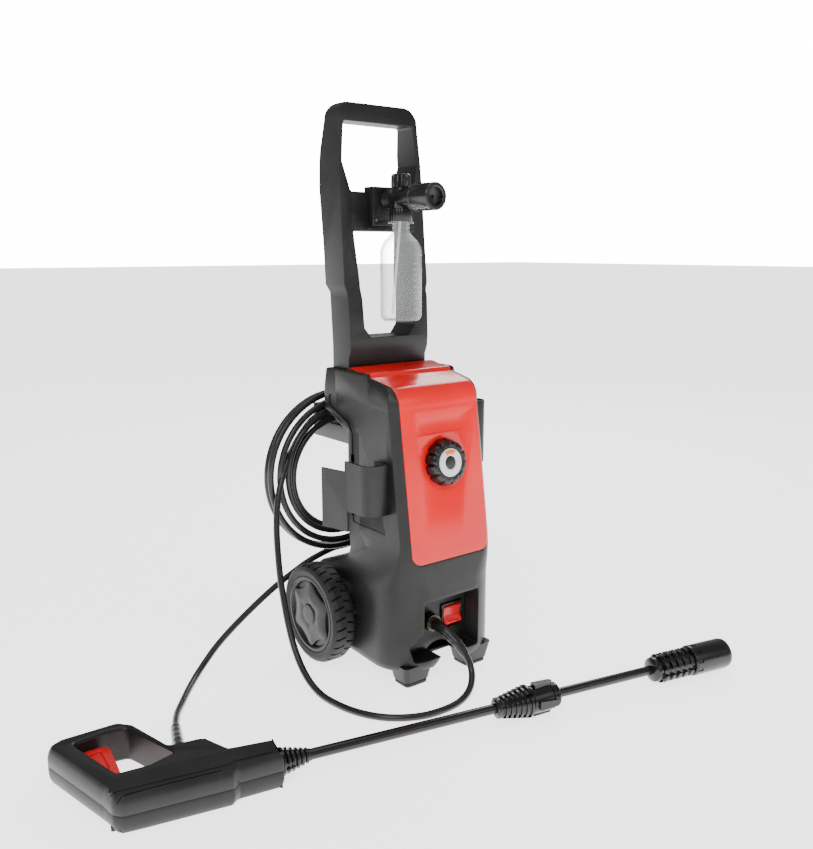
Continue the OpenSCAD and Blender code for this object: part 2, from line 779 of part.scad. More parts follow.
module trigger() color(bright_red) gun() difference() {
    linear_extrude(16, center = true) polygon([
        [-236, 100], [-203, 106], [-198, 101], [-193, 30], [-194, 14],
        [-200, 6], [-208, 6], [-213, 16], [-210, 30]
    ]);
    rod_z(3 + running, -20, 20, pivot_u, pivot_v);
}

// ---- lance ----

module rear_lance() color(soft_black) gun() {
    difference() {
        union() {
            rod_x(tube_r, -60, 264);
            translate([-23.5, 0, 0]) rotate([0, 90, 0]) cylinder(r1 = 14, r2 = 8, h = 36.5, $fn = 48);
            for (k = [0:5]) rod_x(16.5 - 1.5 * k, -23.5 + 6 * k, -20.5 + 6 * k);
            translate([264, 0, 0]) rotate([0, 90, 0]) cylinder(r1 = 11, r2 = 18, h = 48, $fn = 48);
            for (k = [0:6]) rod_x(13.5 + 1.3 * k, 264 + 7 * k, 268 + 7 * k);
            rod_x(10, 312, 334);
        }
        rod_x(3, -70, 290);
        rod_x(tube_r + running, 286, 340);
    }
}

module front_lance() color(soft_black) gun() difference() {
    union() {
        rod_x(tube_r, 288, 515);
        rod_x(18, 312 + gap, 355);
        for (a = [0:90:270]) rotate([a, 0, 0]) translate([318, -6, 0]) cube([30, 12, 22]);
        translate([515, 0, 0]) rotate([0, 90, 0]) cylinder(r1 = 13, r2 = 18, h = 65, $fn = 48);
        for (k = [0:5]) rod_x(k == 0 ? 17 : 20.5, 516 + 11 * k, 522 + 11 * k);
        rod_x(9, 580, 610);
    }
    difference() {
        rod_x(10 + running, 300, 334 + gap);
        rod_x(tube_r, 280, 340);
    }
    rod_x(3, 280, 620);
}

module lance_nozzle() color(soft_black) gun() difference() {
    rod_x(21.5, 580 + gap, lance_length);
    rod_x(9 + running, 570, 610 + gap);
    rod_x(2, 600, 650);
    rod_x(13, 626, 660);
}

// ---- hose ----

function unit(v) = v / norm(v);
function along(p, i) = unit(p[min(i + 1, len(p) - 1)] - p[max(i - 1, 0)]);
function hose_ring(c, t, r, sides) =
    let (a = unit(cross(t, [1, -1, 1])), b = cross(t, a))
    [for (k = [0:sides - 1]) c + r * cos(360 * k / sides) * a + r * sin(360 * k / sides) * b];

// A tube through the points, from one radius to another
module swept_tube(p, r_from, r_to, sides = 10) {
    last = len(p) - 1;
    rings = [for (i = [0:last])
        each hose_ring(p[i], along(p, i), r_from + (r_to - r_from) * i / last, sides)];
    quads = [for (i = [0:last - 1], k = [0:sides - 1])
        let (a = i * sides + k, b = i * sides + (k + 1) % sides) [a, a + sides, b + sides, b]];
    first_cap = [for (k = [0:sides - 1]) k];
    last_cap = [for (k = [sides - 1:-1:0]) last * sides + k];
    polyhedron(rings, concat([first_cap], quads, [last_cap]));
}

module outlet_sleeve() color(soft_black) machine() swept_tube(sleeve_out, 9, 6.5);
module hose_front_run() color(soft_black) machine() swept_tube(front_run, hose_d / 2, hose_d / 2);
module hose_gun_run() color(soft_black) machine() swept_tube(gun_run, hose_d / 2, hose_d / 2);
module gun_sleeve() color(soft_black) machine() swept_tube(sleeve_gun, 6.5, 8);

module hose_coil() color(soft_black) machine() translate([coil_x, coil_rear, coil_z])
    rotate([90, 0, 0]) rotate_extrude($fn = 96) polygon([
        [coil_inner, 10], [coil_inner + 8, 0], [coil_outer - 8, 0], [coil_outer, 10],
        [coil_outer, coil_rear - coil_front - 10], [coil_outer - 8, coil_rear - coil_front],
        [coil_inner + 8, coil_rear - coil_front], [coil_inner, coil_rear - coil_front - 10]
    ]);

front_shell();
rear_shell();
front_cover();
base_plate();
foot_pads();
handle();
nozzle_rack();
left_holder();
right_bracket();
hose_hook();
axle();
axle_clips();
body_screws();
switch_box();
rocker_bezel();
rocker();
selector_box();
knob();
knob_ring();
outlet_fitting();
outlet_nut();
water_inlet();
mains_gland();
stop_switch();
capacitor();
stator();
gearbox_plate();
bearings();
armature();
fan();
pinion();
drive_gear();
swash_plate();
pump_case();
pump_head();
pistons();
piston_springs();
tyre_left();
hub_left();
tyre_right();
hub_right();
foam_body();
foam_cap();
dip_tube();
foam_knob();
foam_nozzle();
bottle();
gun_shell_lower();
gun_shell_upper();
gun_valve();
trigger_pin();
trigger();
rear_lance();
front_lance();
lance_nozzle();
outlet_sleeve();
hose_front_run();
hose_coil();
hose_gun_run();
gun_sleeve();
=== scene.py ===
import json
import math

import bmesh
import bpy
from mathutils import Matrix, Vector
from mathutils.kdtree import KDTree


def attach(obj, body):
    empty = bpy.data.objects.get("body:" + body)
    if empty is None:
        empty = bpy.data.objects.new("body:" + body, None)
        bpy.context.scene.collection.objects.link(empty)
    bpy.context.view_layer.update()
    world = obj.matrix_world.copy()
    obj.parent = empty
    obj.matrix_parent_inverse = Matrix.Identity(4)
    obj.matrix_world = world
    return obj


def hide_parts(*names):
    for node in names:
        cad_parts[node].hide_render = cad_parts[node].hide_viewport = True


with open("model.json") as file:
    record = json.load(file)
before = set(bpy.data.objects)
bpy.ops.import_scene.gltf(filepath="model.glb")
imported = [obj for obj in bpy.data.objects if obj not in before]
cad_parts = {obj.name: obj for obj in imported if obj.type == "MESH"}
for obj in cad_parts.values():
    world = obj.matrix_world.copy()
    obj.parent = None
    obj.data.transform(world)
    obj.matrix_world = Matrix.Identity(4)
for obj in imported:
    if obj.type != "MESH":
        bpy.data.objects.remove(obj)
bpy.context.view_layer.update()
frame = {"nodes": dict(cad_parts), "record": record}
scene = bpy.context.scene

MM = 0.001
# The pieces are modelled in millimetres about the machine's own origin, or along the gun
MACHINE = Matrix.Translation((0.101, 0.091, 0)) @ Matrix.Scale(MM, 4)
GUN = (Matrix.Translation((-0.199, -0.0895, 0.0225)) @ Matrix.Rotation(math.radians(-12.75), 4, "Z")
       @ Matrix.Scale(MM, 4))
FULL = 2 * math.pi

# ---- camera ----

camera_data = bpy.data.cameras.new("camera")
camera = bpy.data.objects.new("camera", camera_data)
scene.collection.objects.link(camera)
camera.location = (-0.686, -0.914, 0.600)
camera.rotation_euler = (math.radians(78.97), 0, math.radians(-38))
camera_data.lens = 38.16
camera_data.sensor_width = 36
scene.camera = camera

# ---- modelling helpers ----


def deselect():
    if bpy.context.object and bpy.context.object.mode != "OBJECT":
        bpy.ops.object.mode_set(mode="OBJECT")
    bpy.ops.object.select_all(action="DESELECT")


def only(obj):
    deselect()
    obj.select_set(True)
    bpy.context.view_layer.objects.active = obj


def edit(obj, select="SELECT"):
    only(obj)
    bpy.ops.object.mode_set(mode="EDIT")
    bpy.ops.mesh.select_all(action=select)


def done():
    bpy.ops.object.mode_set(mode="OBJECT")


def apply(obj, kind, **settings):
    only(obj)
    modifier = obj.modifiers.new(kind.lower(), kind)
    for key, value in settings.items():
        setattr(modifier, key, value)
    bpy.ops.object.modifier_apply(modifier=modifier.name)
    return obj


def outwards(obj):
    edit(obj)
    bpy.ops.mesh.remove_doubles(threshold=0.001)
    bpy.ops.mesh.delete_loose(use_faces=False)
    bpy.ops.mesh.select_all(action="SELECT")
    bpy.ops.mesh.normals_make_consistent(inside=False)
    done()
    return obj


def arc(cx, cy, r, start, end, steps=6):
    turns = [math.radians(start + (end - start) * k / steps) for k in range(steps + 1)]
    return [(cx + r * math.cos(a), cy + r * math.sin(a)) for a in turns]


def rounded(points, radius, closed=False, steps=4):
    """The points with each corner rounded. A point's third number is its own radius."""
    result = []
    for i, p in enumerate(points):
        here = Vector(p[:2])
        r = p[2] if len(p) > 2 else radius
        if r <= 0 or (not closed and i in (0, len(points) - 1)):
            result.append(tuple(here))
            continue
        back = Vector(points[i - 1][:2]) - here
        on = Vector(points[(i + 1) % len(points)][:2]) - here
        corner = back.angle(on)
        if corner > 3.05:
            result.append(tuple(here))
            continue
        cut = min(r / math.tan(corner / 2), 0.48 * back.length, 0.48 * on.length)
        a, b = here + back.normalized() * cut, here + on.normalized() * cut
        for k in range(steps + 1):
            t = k / steps
            q = a * (1 - t) ** 2 + here * (2 * t * (1 - t)) + b * t ** 2
            result.append((q.x, q.y))
    return result


def shrunk(points, by):
    """A closed outline moved in by that much, or as far as each rounded corner allows."""
    result = []
    wide = by
    for i, p in enumerate(points):
        here = Vector(p)
        a = (here - Vector(points[i - 1])).normalized()
        b = (Vector(points[(i + 1) % len(points)]) - here).normalized()
        inward = Vector((-(a.y + b.y), a.x + b.x))
        if inward.length < 1e-6:
            inward = Vector((-a.y, a.x))
        inward.normalize()
        cosine = max(0.5, inward.dot(Vector((-a.y, a.x))))
        bend = (a.x * b.y - a.y * b.x) * winding(points)
        if wide > 0 and bend > 0.02:
            step = ((Vector(points[(i + 1) % len(points)]) - Vector(points[i - 1])).length) / 2
            by = min(wide, 0.85 * step / max(bend, 0.05))
        else:
            by = wide
        q = here + inward * by * winding(points) / cosine
        result.append((q.x, q.y))
    return result


def winding(points):
    area = sum(a[0] * b[1] - b[0] * a[1] for a, b in zip(points, points[1:] + points[:1]))
    return 1 if area > 0 else -1


def ring_of(count, filled=True):
    deselect()
    bpy.ops.mesh.primitive_circle_add(vertices=count, radius=1, fill_type="NGON" if filled else "NOTHING")
    return bpy.context.object


# From an outline's (a, b) and height c to X, Y, Z
TURN = {
    "Z": Matrix.Identity(4),
    "X": Matrix(((0, 0, 1, 0), (1, 0, 0, 0), (0, 1, 0, 0), (0, 0, 0, 1))),
    "Y": Matrix(((1, 0, 0, 0), (0, 0, 1, 0), (0, 1, 0, 0), (0, 0, 0, 1))),
}


def slab(name, outline, low, high, axis="Z"):
    """A block with that outline, from low to high along axis."""
    obj = ring_of(len(outline))
    obj.name = name
    for v, p in zip(obj.data.vertices, outline):
        v.co = (p[0], p[1], low)
    edit(obj)
    bpy.ops.mesh.extrude_region_move(TRANSFORM_OT_translate={"value": (0, 0, high - low)})
    done()
    obj.data.transform(TURN[axis])
    return outwards(obj)


def loft(name, rings):
    """A closed skin through rings of 3-D points, all with the same number of points."""
    obj = ring_of(len(rings[0]))
    obj.name = name
    for v, p in zip(obj.data.vertices, rings[0]):
        v.co = p
    edit(obj)
    before = rings[0]
    for after in rings[1:]:
        bpy.ops.mesh.extrude_region_move()
        mesh = bmesh.from_edit_mesh(obj.data)
        nearest = KDTree(len(before))
        for i, p in enumerate(before):
            nearest.insert(p, i)
        nearest.balance()
        for v in [v for v in mesh.verts if v.select]:
            v.co = after[nearest.find(v.co)[1]]
        bmesh.update_edit_mesh(obj.data)
        before = after
    done()
    return outwards(obj)


def turned(name, profile, axis="Z", at=(0, 0, 0), steps=64, closed=False):
    """A turned piece: profile is (radius, height) along axis, closed if it is a ring's section."""
    obj = ring_of(len(profile), False)
    obj.name = name
    for v, (r, h) in zip(obj.data.vertices, profile):
        v.co = (r, 0, h)
    edit(obj, "DESELECT")
    if not closed:
        mesh = bmesh.from_edit_mesh(obj.data)
        mesh.verts.ensure_lookup_table()
        ends = {mesh.verts[0], mesh.verts[len(profile) - 1]}
        for e in [e for e in mesh.edges if set(e.verts) == ends]:
            mesh.edges.remove(e)
        bmesh.update_edit_mesh(obj.data)
    bpy.ops.mesh.select_all(action="SELECT")
    bpy.ops.mesh.spin(steps=steps, angle=FULL, center=(0, 0, 0), axis=(0, 0, 1), use_auto_merge=True)
    done()
    obj.data.transform(TURN[axis])
    obj.data.transform(Matrix.Translation(at))
    return outwards(obj)


def tube(name, points, radii, sides=24):
    """A closed tube through 3-D points, with a radius at each."""
    rings = []
    side = Vector((1, -1, 1))
    for i, p in enumerate(points):
        on = (Vector(points[min(i + 1, len(points) - 1)]) - Vector(points[max(i - 1, 0)])).normalized()
        a = on.cross(side).normalized()
        b = on.cross(a)
        rings.append([Vector(p) + radii[i] * (math.cos(FULL * k / sides) * a + math.sin(FULL * k / sides) * b)
                      for k in range(sides)])
    return loft(name, rings)


def copy_of(obj, name):
    twin = obj.copy()
    twin.data = obj.data.copy()
    twin.name = name
    scene.collection.objects.link(twin)
    return twin


def cut(obj, tool, operation="DIFFERENCE", keep=False):
    apply(obj, "BOOLEAN", operation=operation, object=tool, solver="EXACT")
    if not keep:
        bpy.data.objects.remove(tool)
    return obj


def join(objs, name=None):
    deselect()
    for o in objs:
        o.select_set(True)
    bpy.context.view_layer.objects.active = objs[0]
    bpy.ops.object.join()
    if name:
        objs[0].name = name
    return objs[0]


def around(obj, count, step, axis, centre):
    """Copies of obj turned about an axis, joined with it."""
    copies = [obj]
    for k in range(1, count):
        twin = copy_of(obj, obj.name + "_turned")
        turn = Matrix.Rotation(math.radians(step * k), 4, axis)
        twin.data.transform(Matrix.Translation(centre) @ turn @ Matrix.Translation(-Vector(centre)))
        copies.append(twin)
    return join(copies)


def tidied(obj, degrees=1.0):
    edit(obj)
    bpy.ops.mesh.remove_doubles(threshold=0.01)
    bpy.ops.mesh.dissolve_limited(angle_limit=math.radians(degrees))
    done()
    return obj


def bevelled(obj, width, segments=3, degrees=35):
    return apply(obj, "BEVEL", width=width, segments=segments, limit_method="ANGLE",
                 angle_limit=math.radians(degrees), use_clamp_overlap=True, miter_outer="MITER_ARC")


def piece(obj, name, body, material, place=MACHINE, nodes=(), smooth=32):
    """Puts a finished shape in the row frame, with its finish and its body."""
    only(obj)
    obj.name = name
    obj.data.name = name
    obj.data.transform(place)
    obj.data.materials.clear()
    obj.data.materials.append(material)
    bpy.ops.object.shade_smooth_by_angle(angle=math.radians(smooth))
    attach(obj, body)
    if nodes:
        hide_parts(*nodes)
    return obj


def cad_copy(node, place=MACHINE):
    """A merged copy of a CAD node's mesh, in millimetres about the machine or the gun."""
    obj = copy_of(frame["nodes"][node], node + "_copy")
    obj.parent = None
    for key in list(obj.keys()):
        del obj[key]
    obj.data.transform(place.inverted())
    only(obj)
    obj.hide_render = obj.hide_viewport = False
    if obj.data.has_custom_normals:
        bpy.ops.mesh.customdata_custom_splitnormals_clear()
    return tidied(obj, 0.8)


# ---- materials ----


class Value:
    """A node's output that works out a sum by adding Math nodes."""

    def __init__(self, sheet, socket):
        self.sheet, self.socket = sheet, socket

    def _sum(self, operation, a, b):
        return self.sheet.node("ShaderNodeMath", {"operation": operation}, {0: a, 1: b})

    def __add__(self, other):
        return self._sum("ADD", self, other)

    def __radd__(self, other):
        return self._sum("ADD", other, self)

    def __sub__(self, other):
        return self._sum("SUBTRACT", self, other)

    def __rsub__(self, other):
        return self._sum("SUBTRACT", other, self)

    def __mul__(self, other):
        return self._sum("MULTIPLY", self, other)

    def __rmul__(self, other):
        return self._sum("MULTIPLY", other, self)

    def __truediv__(self, other):
        return self._sum("DIVIDE", self, other)

    def __rtruediv__(self, other):
        return self._sum("DIVIDE", other, self)


class Sheet:
    """One material's nodes."""

    def __init__(self, name):
        self.material = bpy.data.materials.new(name)
        self.material.use_nodes = True
        self.tree = self.material.node_tree
        self.shader = self.tree.nodes["Principled BSDF"]
        self.place = self.node("ShaderNodeTexCoord", out="Object")

    def node(self, kind, settings=None, values=None, out=0):
        made = self.tree.nodes.new(kind)
        for key, value in (settings or {}).items():
            if key == "stops":
                for stop, (at, colour) in zip(self.stops(made, len(value)), value):
                    stop.position, stop.color = at, (*colour, 1)
            else:
                setattr(made, key, value)
        for key, value in (values or {}).items():
            self.feed(made.inputs[key], value)
        return Value(self, made.outputs[out])

    def stops(self, ramp, count):
        while len(ramp.color_ramp.elements) < count:
            ramp.color_ramp.elements.new(0.5)
        return ramp.color_ramp.elements

    def feed(self, socket, value):
        if isinstance(value, Value):
            self.tree.links.new(value.socket, socket)
        else:
            socket.default_value = value

    def noise(self, scale, detail=2.0, stretch=None, roughness=0.5):
        place = self.place
        if stretch:
            place = self.node("ShaderNodeMapping", None, {"Vector": place, "Scale": stretch})
        return self.node("ShaderNodeTexNoise", None, {
            "Vector": place, "Scale": scale, "Detail": detail, "Roughness": roughness})

    def within(self, value, low, high, to_low=0.0, to_high=1.0):
        return self.node("ShaderNodeMapRange", {"interpolation_type": "SMOOTHSTEP"}, {
            "Value": value, "From Min": low, "From Max": high, "To Min": to_low, "To Max": to_high})

    def mix(self, factor, a, b):
        made = self.tree.nodes.new("ShaderNodeMix")
        made.data_type = "RGBA"
        for socket, value in ((made.inputs[0], factor), (made.inputs[6], a), (made.inputs[7], b)):
            self.feed(socket, value if isinstance(value, (Value, float)) else (*value, 1))
        return Value(self, made.outputs[2])

    def bump(self, height, strength, distance, normal=None):
        values = {"Height": height, "Strength": strength, "Distance": distance}
        if normal:
            values["Normal"] = normal
        return self.node("ShaderNodeBump", None, values)

    def finish(self, **inputs):
        for key, value in inputs.items():
            self.feed(self.shader.inputs[key.replace("_", " ")], value)
        return self.material


def moulded(name, dark, light, roughness, grain=900, depth=0.00012, coat=0.0, coat_roughness=0.2):
    """Moulded plastic: fine spark grain, cloudy gloss and faint handling marks."""
    sheet = Sheet(name)
    clouds = sheet.noise(22.0, 3.0)
    fine = sheet.noise(float(grain), 3.0)
    marks = sheet.within(sheet.noise(60.0, 5.0, (1.0, 1.0, 0.18), 0.7), 0.60, 0.74)
    tone = sheet.within(clouds, 0.3, 0.7)
    colour = sheet.mix(tone, dark, light)
    colour = sheet.mix(marks * 0.16, colour, tuple(min(1.0, c * 2.2 + 0.01) for c in light))
    rough = roughness + (clouds - 0.5) * 0.14 + (fine - 0.5) * 0.1 - marks * 0.05
    return sheet.finish(Base_Color=colour, Roughness=rough, Normal=sheet.bump(fine, 0.35, depth),
                        Coat_Weight=coat, Coat_Roughness=coat_roughness,
                        Specular_IOR_Level=0.35)


def metal(name, dark, light, roughness, stretch, scale=300.0):
    """Metal with brushed or cast marks."""
    sheet = Sheet(name)
    lines = sheet.noise(scale, 4.0, stretch)
    stain = sheet.within(sheet.noise(35.0, 3.0), 0.35, 0.7)
    colour = sheet.mix(lines * 0.5 + stain * 0.5, dark, light)
    rough = roughness + (lines - 0.5) * 0.2 + stain * 0.06
    return sheet.finish(Base_Color=colour, Roughness=rough, Metallic=1.0,
                        Normal=sheet.bump(lines, 0.25, 0.0001))


def gloss_cover(name):
    """Glossy red plastic with a slight orange peel under the polish."""
    sheet = Sheet(name)
    peel = sheet.noise(160.0, 1.0)
    clouds = sheet.noise(9.0, 2.0)
    dust = sheet.within(sheet.noise(480.0, 4.0), 0.66, 0.78)
    colour = sheet.mix(sheet.within(clouds, 0.3, 0.7), (0.80, 0.001, 0.004), (0.92, 0.002, 0.006))
    colour = sheet.mix(dust * 0.04, colour, (0.9, 0.4, 0.38))
    rough = 0.22 + (clouds - 0.5) * 0.06 + dust * 0.12
    return sheet.finish(Base_Color=colour, Roughness=rough, Normal=sheet.bump(peel, 0.08, 0.0004),
                        Coat_Weight=0.25, Coat_Roughness=0.1,
                        Specular_IOR_Level=0.3)


def wound_copper(name):
    """Windings: fine wires side by side over a laminated core."""
    sheet = Sheet(name)
    wires = sheet.node("ShaderNodeTexWave", {"bands_direction": "Z"}, {
        "Vector": sheet.place, "Scale": 260.0, "Distortion": 0.6, "Detail": 1.0})
    tone = sheet.noise(40.0, 2.0)
    colour = sheet.mix(wires * 0.6 + tone * 0.4, (0.32, 0.12, 0.05), (0.80, 0.42, 0.24))
    return sheet.finish(Base_Color=colour, Roughness=0.3 + tone * 0.2, Metallic=0.9,
                        Normal=sheet.bump(wires, 0.5, 0.0004))


def clear(name, edge, middle, thin):
    """Clear blown plastic: nearly invisible face on, grey where it is seen edge on."""
    sheet = Sheet(name)
    facing = sheet.node("ShaderNodeLayerWeight", None, {"Blend": 0.45}, out="Facing")
    flow = sheet.noise(14.0, 2.0, (1.0, 1.0, 0.3))
    alpha = thin + facing * facing * (0.8 - thin) + (flow - 0.5) * 0.05
    colour = sheet.mix(facing, middle, edge)
    return sheet.finish(Base_Color=colour, Alpha=alpha, Roughness=0.06 + (flow - 0.5) * 0.04,
                        Normal=sheet.bump(flow, 0.12, 0.001), Specular_IOR_Level=0.75)


SATIN = moulded("black_satin", (0.006, 0.0065, 0.006), (0.012, 0.0125, 0.0115), 0.4)
GLOSS = moulded("black_gloss", (0.004, 0.004, 0.004), (0.009, 0.009, 0.009), 0.27, 500, 0.00006, 0.25)
HOSE = moulded("hose_rubber", (0.009, 0.009, 0.009), (0.017, 0.017, 0.016), 0.34, 650, 0.0001, 0.2)
TYRE = moulded("tyre_rubber", (0.010, 0.010, 0.010), (0.020, 0.020, 0.019), 0.6, 420, 0.0003)
RED = gloss_cover("red_cover")
RED_PART = moulded("red_moulded", (0.70, 0.006, 0.010), (0.86, 0.012, 0.018), 0.33, 500, 0.00008, 0.3)
WHITE = moulded("white_plastic", (0.70, 0.70, 0.68), (0.80, 0.80, 0.78), 0.35, 600, 0.00006)
ORANGE = moulded("orange_mark", (0.75, 0.16, 0.02), (0.85, 0.22, 0.03), 0.35, 600, 0.00006)
STEEL = metal("steel", (0.42, 0.43, 0.45), (0.70, 0.71, 0.73), 0.28, (0.08, 1.0, 1.0))
CAST = metal("cast_metal", (0.36, 0.37, 0.39), (0.58, 0.59, 0.61), 0.45, (1.0, 1.0, 1.0), 500.0)
BRASS = metal("brass", (0.52, 0.34, 0.12), (0.80, 0.60, 0.28), 0.26, (1.0, 0.1, 1.0))
COPPER = wound_copper("copper_winding")
CLEAR = clear("clear_plastic", (0.16, 0.18, 0.18), (0.88, 0.92, 0.93), 0.06)
CLEAR_TUBE = clear("clear_tube", (0.35, 0.37, 0.38), (0.80, 0.83, 0.84), 0.45)
MATERIAL = {"black_plastic": SATIN, "gloss_black": GLOSS, "hose_rubber": HOSE, "tyre_black": TYRE,
            "red_plastic": RED_PART, "white_plastic": WHITE, "steel": STEEL, "cast_metal": CAST,
            "brass": BRASS, "copper": COPPER, "clear_plastic": CLEAR}

# ---- hose, first because its coil takes the most room ----

SLEEVE_OUT = [(-16, -85, 78), (-15.5, -99, 76), (-13, -113, 70), (-9, -126, 60), (-5, -136, 48)]
FRONT_RUN = [
    (-3, -144, 36), (-6, -152, 24), (-16, -161, 14), (-32, -169, 8), (-52, -174, 5), (-76, -176, 5),
    (-102, -173, 5), (-126, -163, 5), (-147, -147, 5), (-163, -126, 5), (-174, -101, 5), (-180, -74, 5),
    (-183, -46, 6), (-184, -18, 14), (-184, 6, 30), (-183, 26, 52), (-181, 43, 78), (-179, 57, 107),
    (-177, 69, 138), (-174, 79, 171), (-170, 88, 205), (-163, 96, 238), (-151, 103, 271),
    (-134, 110, 301), (-113, 116, 327), (-88, 121, 349)]
GUN_RUN = [
    (-20, 128, 141), (-44, 131, 139), (-68, 135, 132), (-93, 140, 121), (-118, 144, 107), (-145, 146, 92),
    (-172, 146, 76), (-199, 144, 60), (-225, 140, 45), (-250, 134, 30), (-274, 123, 16), (-298, 104, 8),
    (-320, 80, 5), (-340, 54, 5), (-357, 30, 7), (-369, 8, 10), (-379, -14, 13)]
SLEEVE_GUN = [(-387, -35, 16), (-395, -57, 19.5), (-402, -79, 22), (-406.5, -99, 22.5)]
COIL_CENTRE = (-42, 268)
# Radius and depth of the coil's cross-section, turn by turn
COIL_PATH = [(93.2, 121), (85, 108.5), (98, 106), (111.5, 107), (121.5, 116), (119, 129.5), (127, 139)]
COIL_TURNS = 5 + 199.8 / 360
COIL_START = 119.6


def curve_at(points, t):
    """A place on the smooth curve through the points; whole t are the points."""
    i = min(int(t), len(points) - 2)
    f = t - i
    p = [Vector(points[max(0, min(len(points) - 1, j))]) for j in (i - 1, i, i + 1, i + 2)]
    return 0.5 * (2 * p[1] + (p[2] - p[0]) * f + (2 * p[0] - 5 * p[1] + 4 * p[2] - p[3]) * f ** 2
                  + (3 * p[1] - p[0] - 3 * p[2] + p[3]) * f ** 3)


def coil_points(step=12):
    count = int(COIL_TURNS * 360 / step)
    points = []
    for k in range(1, count):
        turn = COIL_TURNS * k / count
        r, y = curve_at([(*p, 0) for p in COIL_PATH], turn)[:2]
        if turn > COIL_TURNS - 0.35:
            blend = (turn - COIL_TURNS + 0.35) / 0.35
            blend = blend * blend * (3 - 2 * blend)
            r, y = r + (128.9 - r) * blend, y + (128 - y) * blend
        angle = math.radians(COIL_START - 360 * turn)
        points.append((COIL_CENTRE[0] + r * math.cos(angle), y, COIL_CENTRE[1] + r * math.sin(angle)))
    return points


def smooth_line(points, parts=3):
    line = [curve_at(points, i + k / parts) for i in range(len(points) - 1) for k in range(parts)]
    return line + [Vector(points[-1])]


hose_line = [MACHINE @ p for p in smooth_line(SLEEVE_OUT + FRONT_RUN + coil_points() + GUN_RUN + SLEEVE_GUN)]
hose_length = sum((b - a).length for a, b in zip(hose_line, hose_line[1:]))
hose_data = bpy.data.curves.new("hose", "CURVE")
hose_data.dimensions = "3D"
hose_data.bevel_depth = 0.0047
hose_data.bevel_resolution = 5
hose_data.use_fill_caps = True
spline = hose_data.splines.new("POLY")
spline.points.add(len(hose_line) - 1)
for point, place in zip(spline.points, hose_line):
    point.co = (*place, 1)
spline.use_smooth = True
hose = bpy.data.objects.new("hose", hose_data)
scene.collection.objects.link(hose)
hose_data.materials.append(HOSE)
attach(hose, "machine")
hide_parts("hose_front_run", "hose_coil", "hose_gun_run")


def sleeve(name, points, radii, node):
    """A bend protector tapering from one end to the other, with rings moulded along it."""
    line = smooth_line(points, 6)
    size = []
    for i in range(len(line)):
        t = i / (len(line) - 1)
        size.append(radii[0] + (radii[1] - radii[0]) * t + (0.45 if i % 4 == 1 else 0))
    obj = tube(name, line, size)
    return piece(obj, name, "machine", HOSE, nodes=(node,), smooth=60)


outlet_sleeve = sleeve("outlet_bend_sleeve", SLEEVE_OUT, (8.6, 6.1), "outlet_sleeve")
gun_sleeve = sleeve("gun_bend_sleeve", [GUN_RUN[-1]] + SLEEVE_GUN, (6.0, 7.6), "gun_sleeve")

# ---- body ----

BODY_HALF, PANEL_BEVEL, WALL = 80, 11, 3
LEAN = math.tan(math.radians(8))
SIDE_TOP, SIDE_TILT = 400.6, math.tan(math.radians(8.26))
ROOF_TOP, ROOF_TILT = 438 - 50 * math.tan(math.radians(10.9)), math.tan(math.radians(10.9))
SEAM = [(-300, 0), (92, 0), (92, 128), (-6, 186), (10, 205), (10, 345), (65, 375), (65, 500), (-300, 500)]


def mix(a, b, t):
    return a + (b - a) * t


def ease(t):
    t = max(0.0, min(1.0, t))
    return t * t * (3 - 2 * t)


def panel_y(z):
    return -70 - (400 - z) * LEAN


def from_table(table, z):
    """The value at z, read straight between the table's (z, value) pairs."""
    for (z0, a), (z1, b) in zip(table, table[1:]):
        if z <= z1:
            return mix(a, b, max(0.0, (z - z0) / (z1 - z0)))
    return table[-1][1]


REAR = [(22, 114), (34, 118), (124, 118), (130, 116), (134, 111), (140, 96), (150, 66), (156, 52),
        (164, 43), (174, 39), (420, 39)]
LEVELS = [22, 25, 29, 34, 60, 95, 118, 124, 128, 131, 134, 138, 143, 149, 155, 161, 167, 174, 181, 188,
          196, 205, 215, 250, 300, 350, 386]


def body_ring(half, rear_half, front, rear, roundness, chamfer, rear_round, height):
    """Half the outline at one level, mirrored; height gives z from y."""
    sharp = rounded([(half - 30, front), (half - chamfer, front), (half, front + chamfer), (half, front + 34)],
                    4, steps=3)[1:-1]
    r = 55
    round_one = arc(half - r, front + r, r, -90, 0, len(sharp) - 1)
    corner = [(mix(a[0], b[0], roundness), mix(a[1], b[1], roundness)) for a, b in zip(sharp, round_one)]
    side_from, side_to = corner[-1], (rear_half, rear - rear_round)
    side = [(mix(side_from[0], side_to[0], t), mix(side_from[1], side_to[1], t)) for t in (0.25, 0.5, 0.75)]
    back = arc(rear_half - rear_round, rear - rear_round, rear_round, 0, 90, 4)
    right = [(corner[0][0] * t, front) for t in (0.35, 0.7)] + corner + side + back
    left = [(-x, y) for x, y in reversed(right)]
    return [(x, y, height(y)) for x, y in [(0, front)] + right + left]


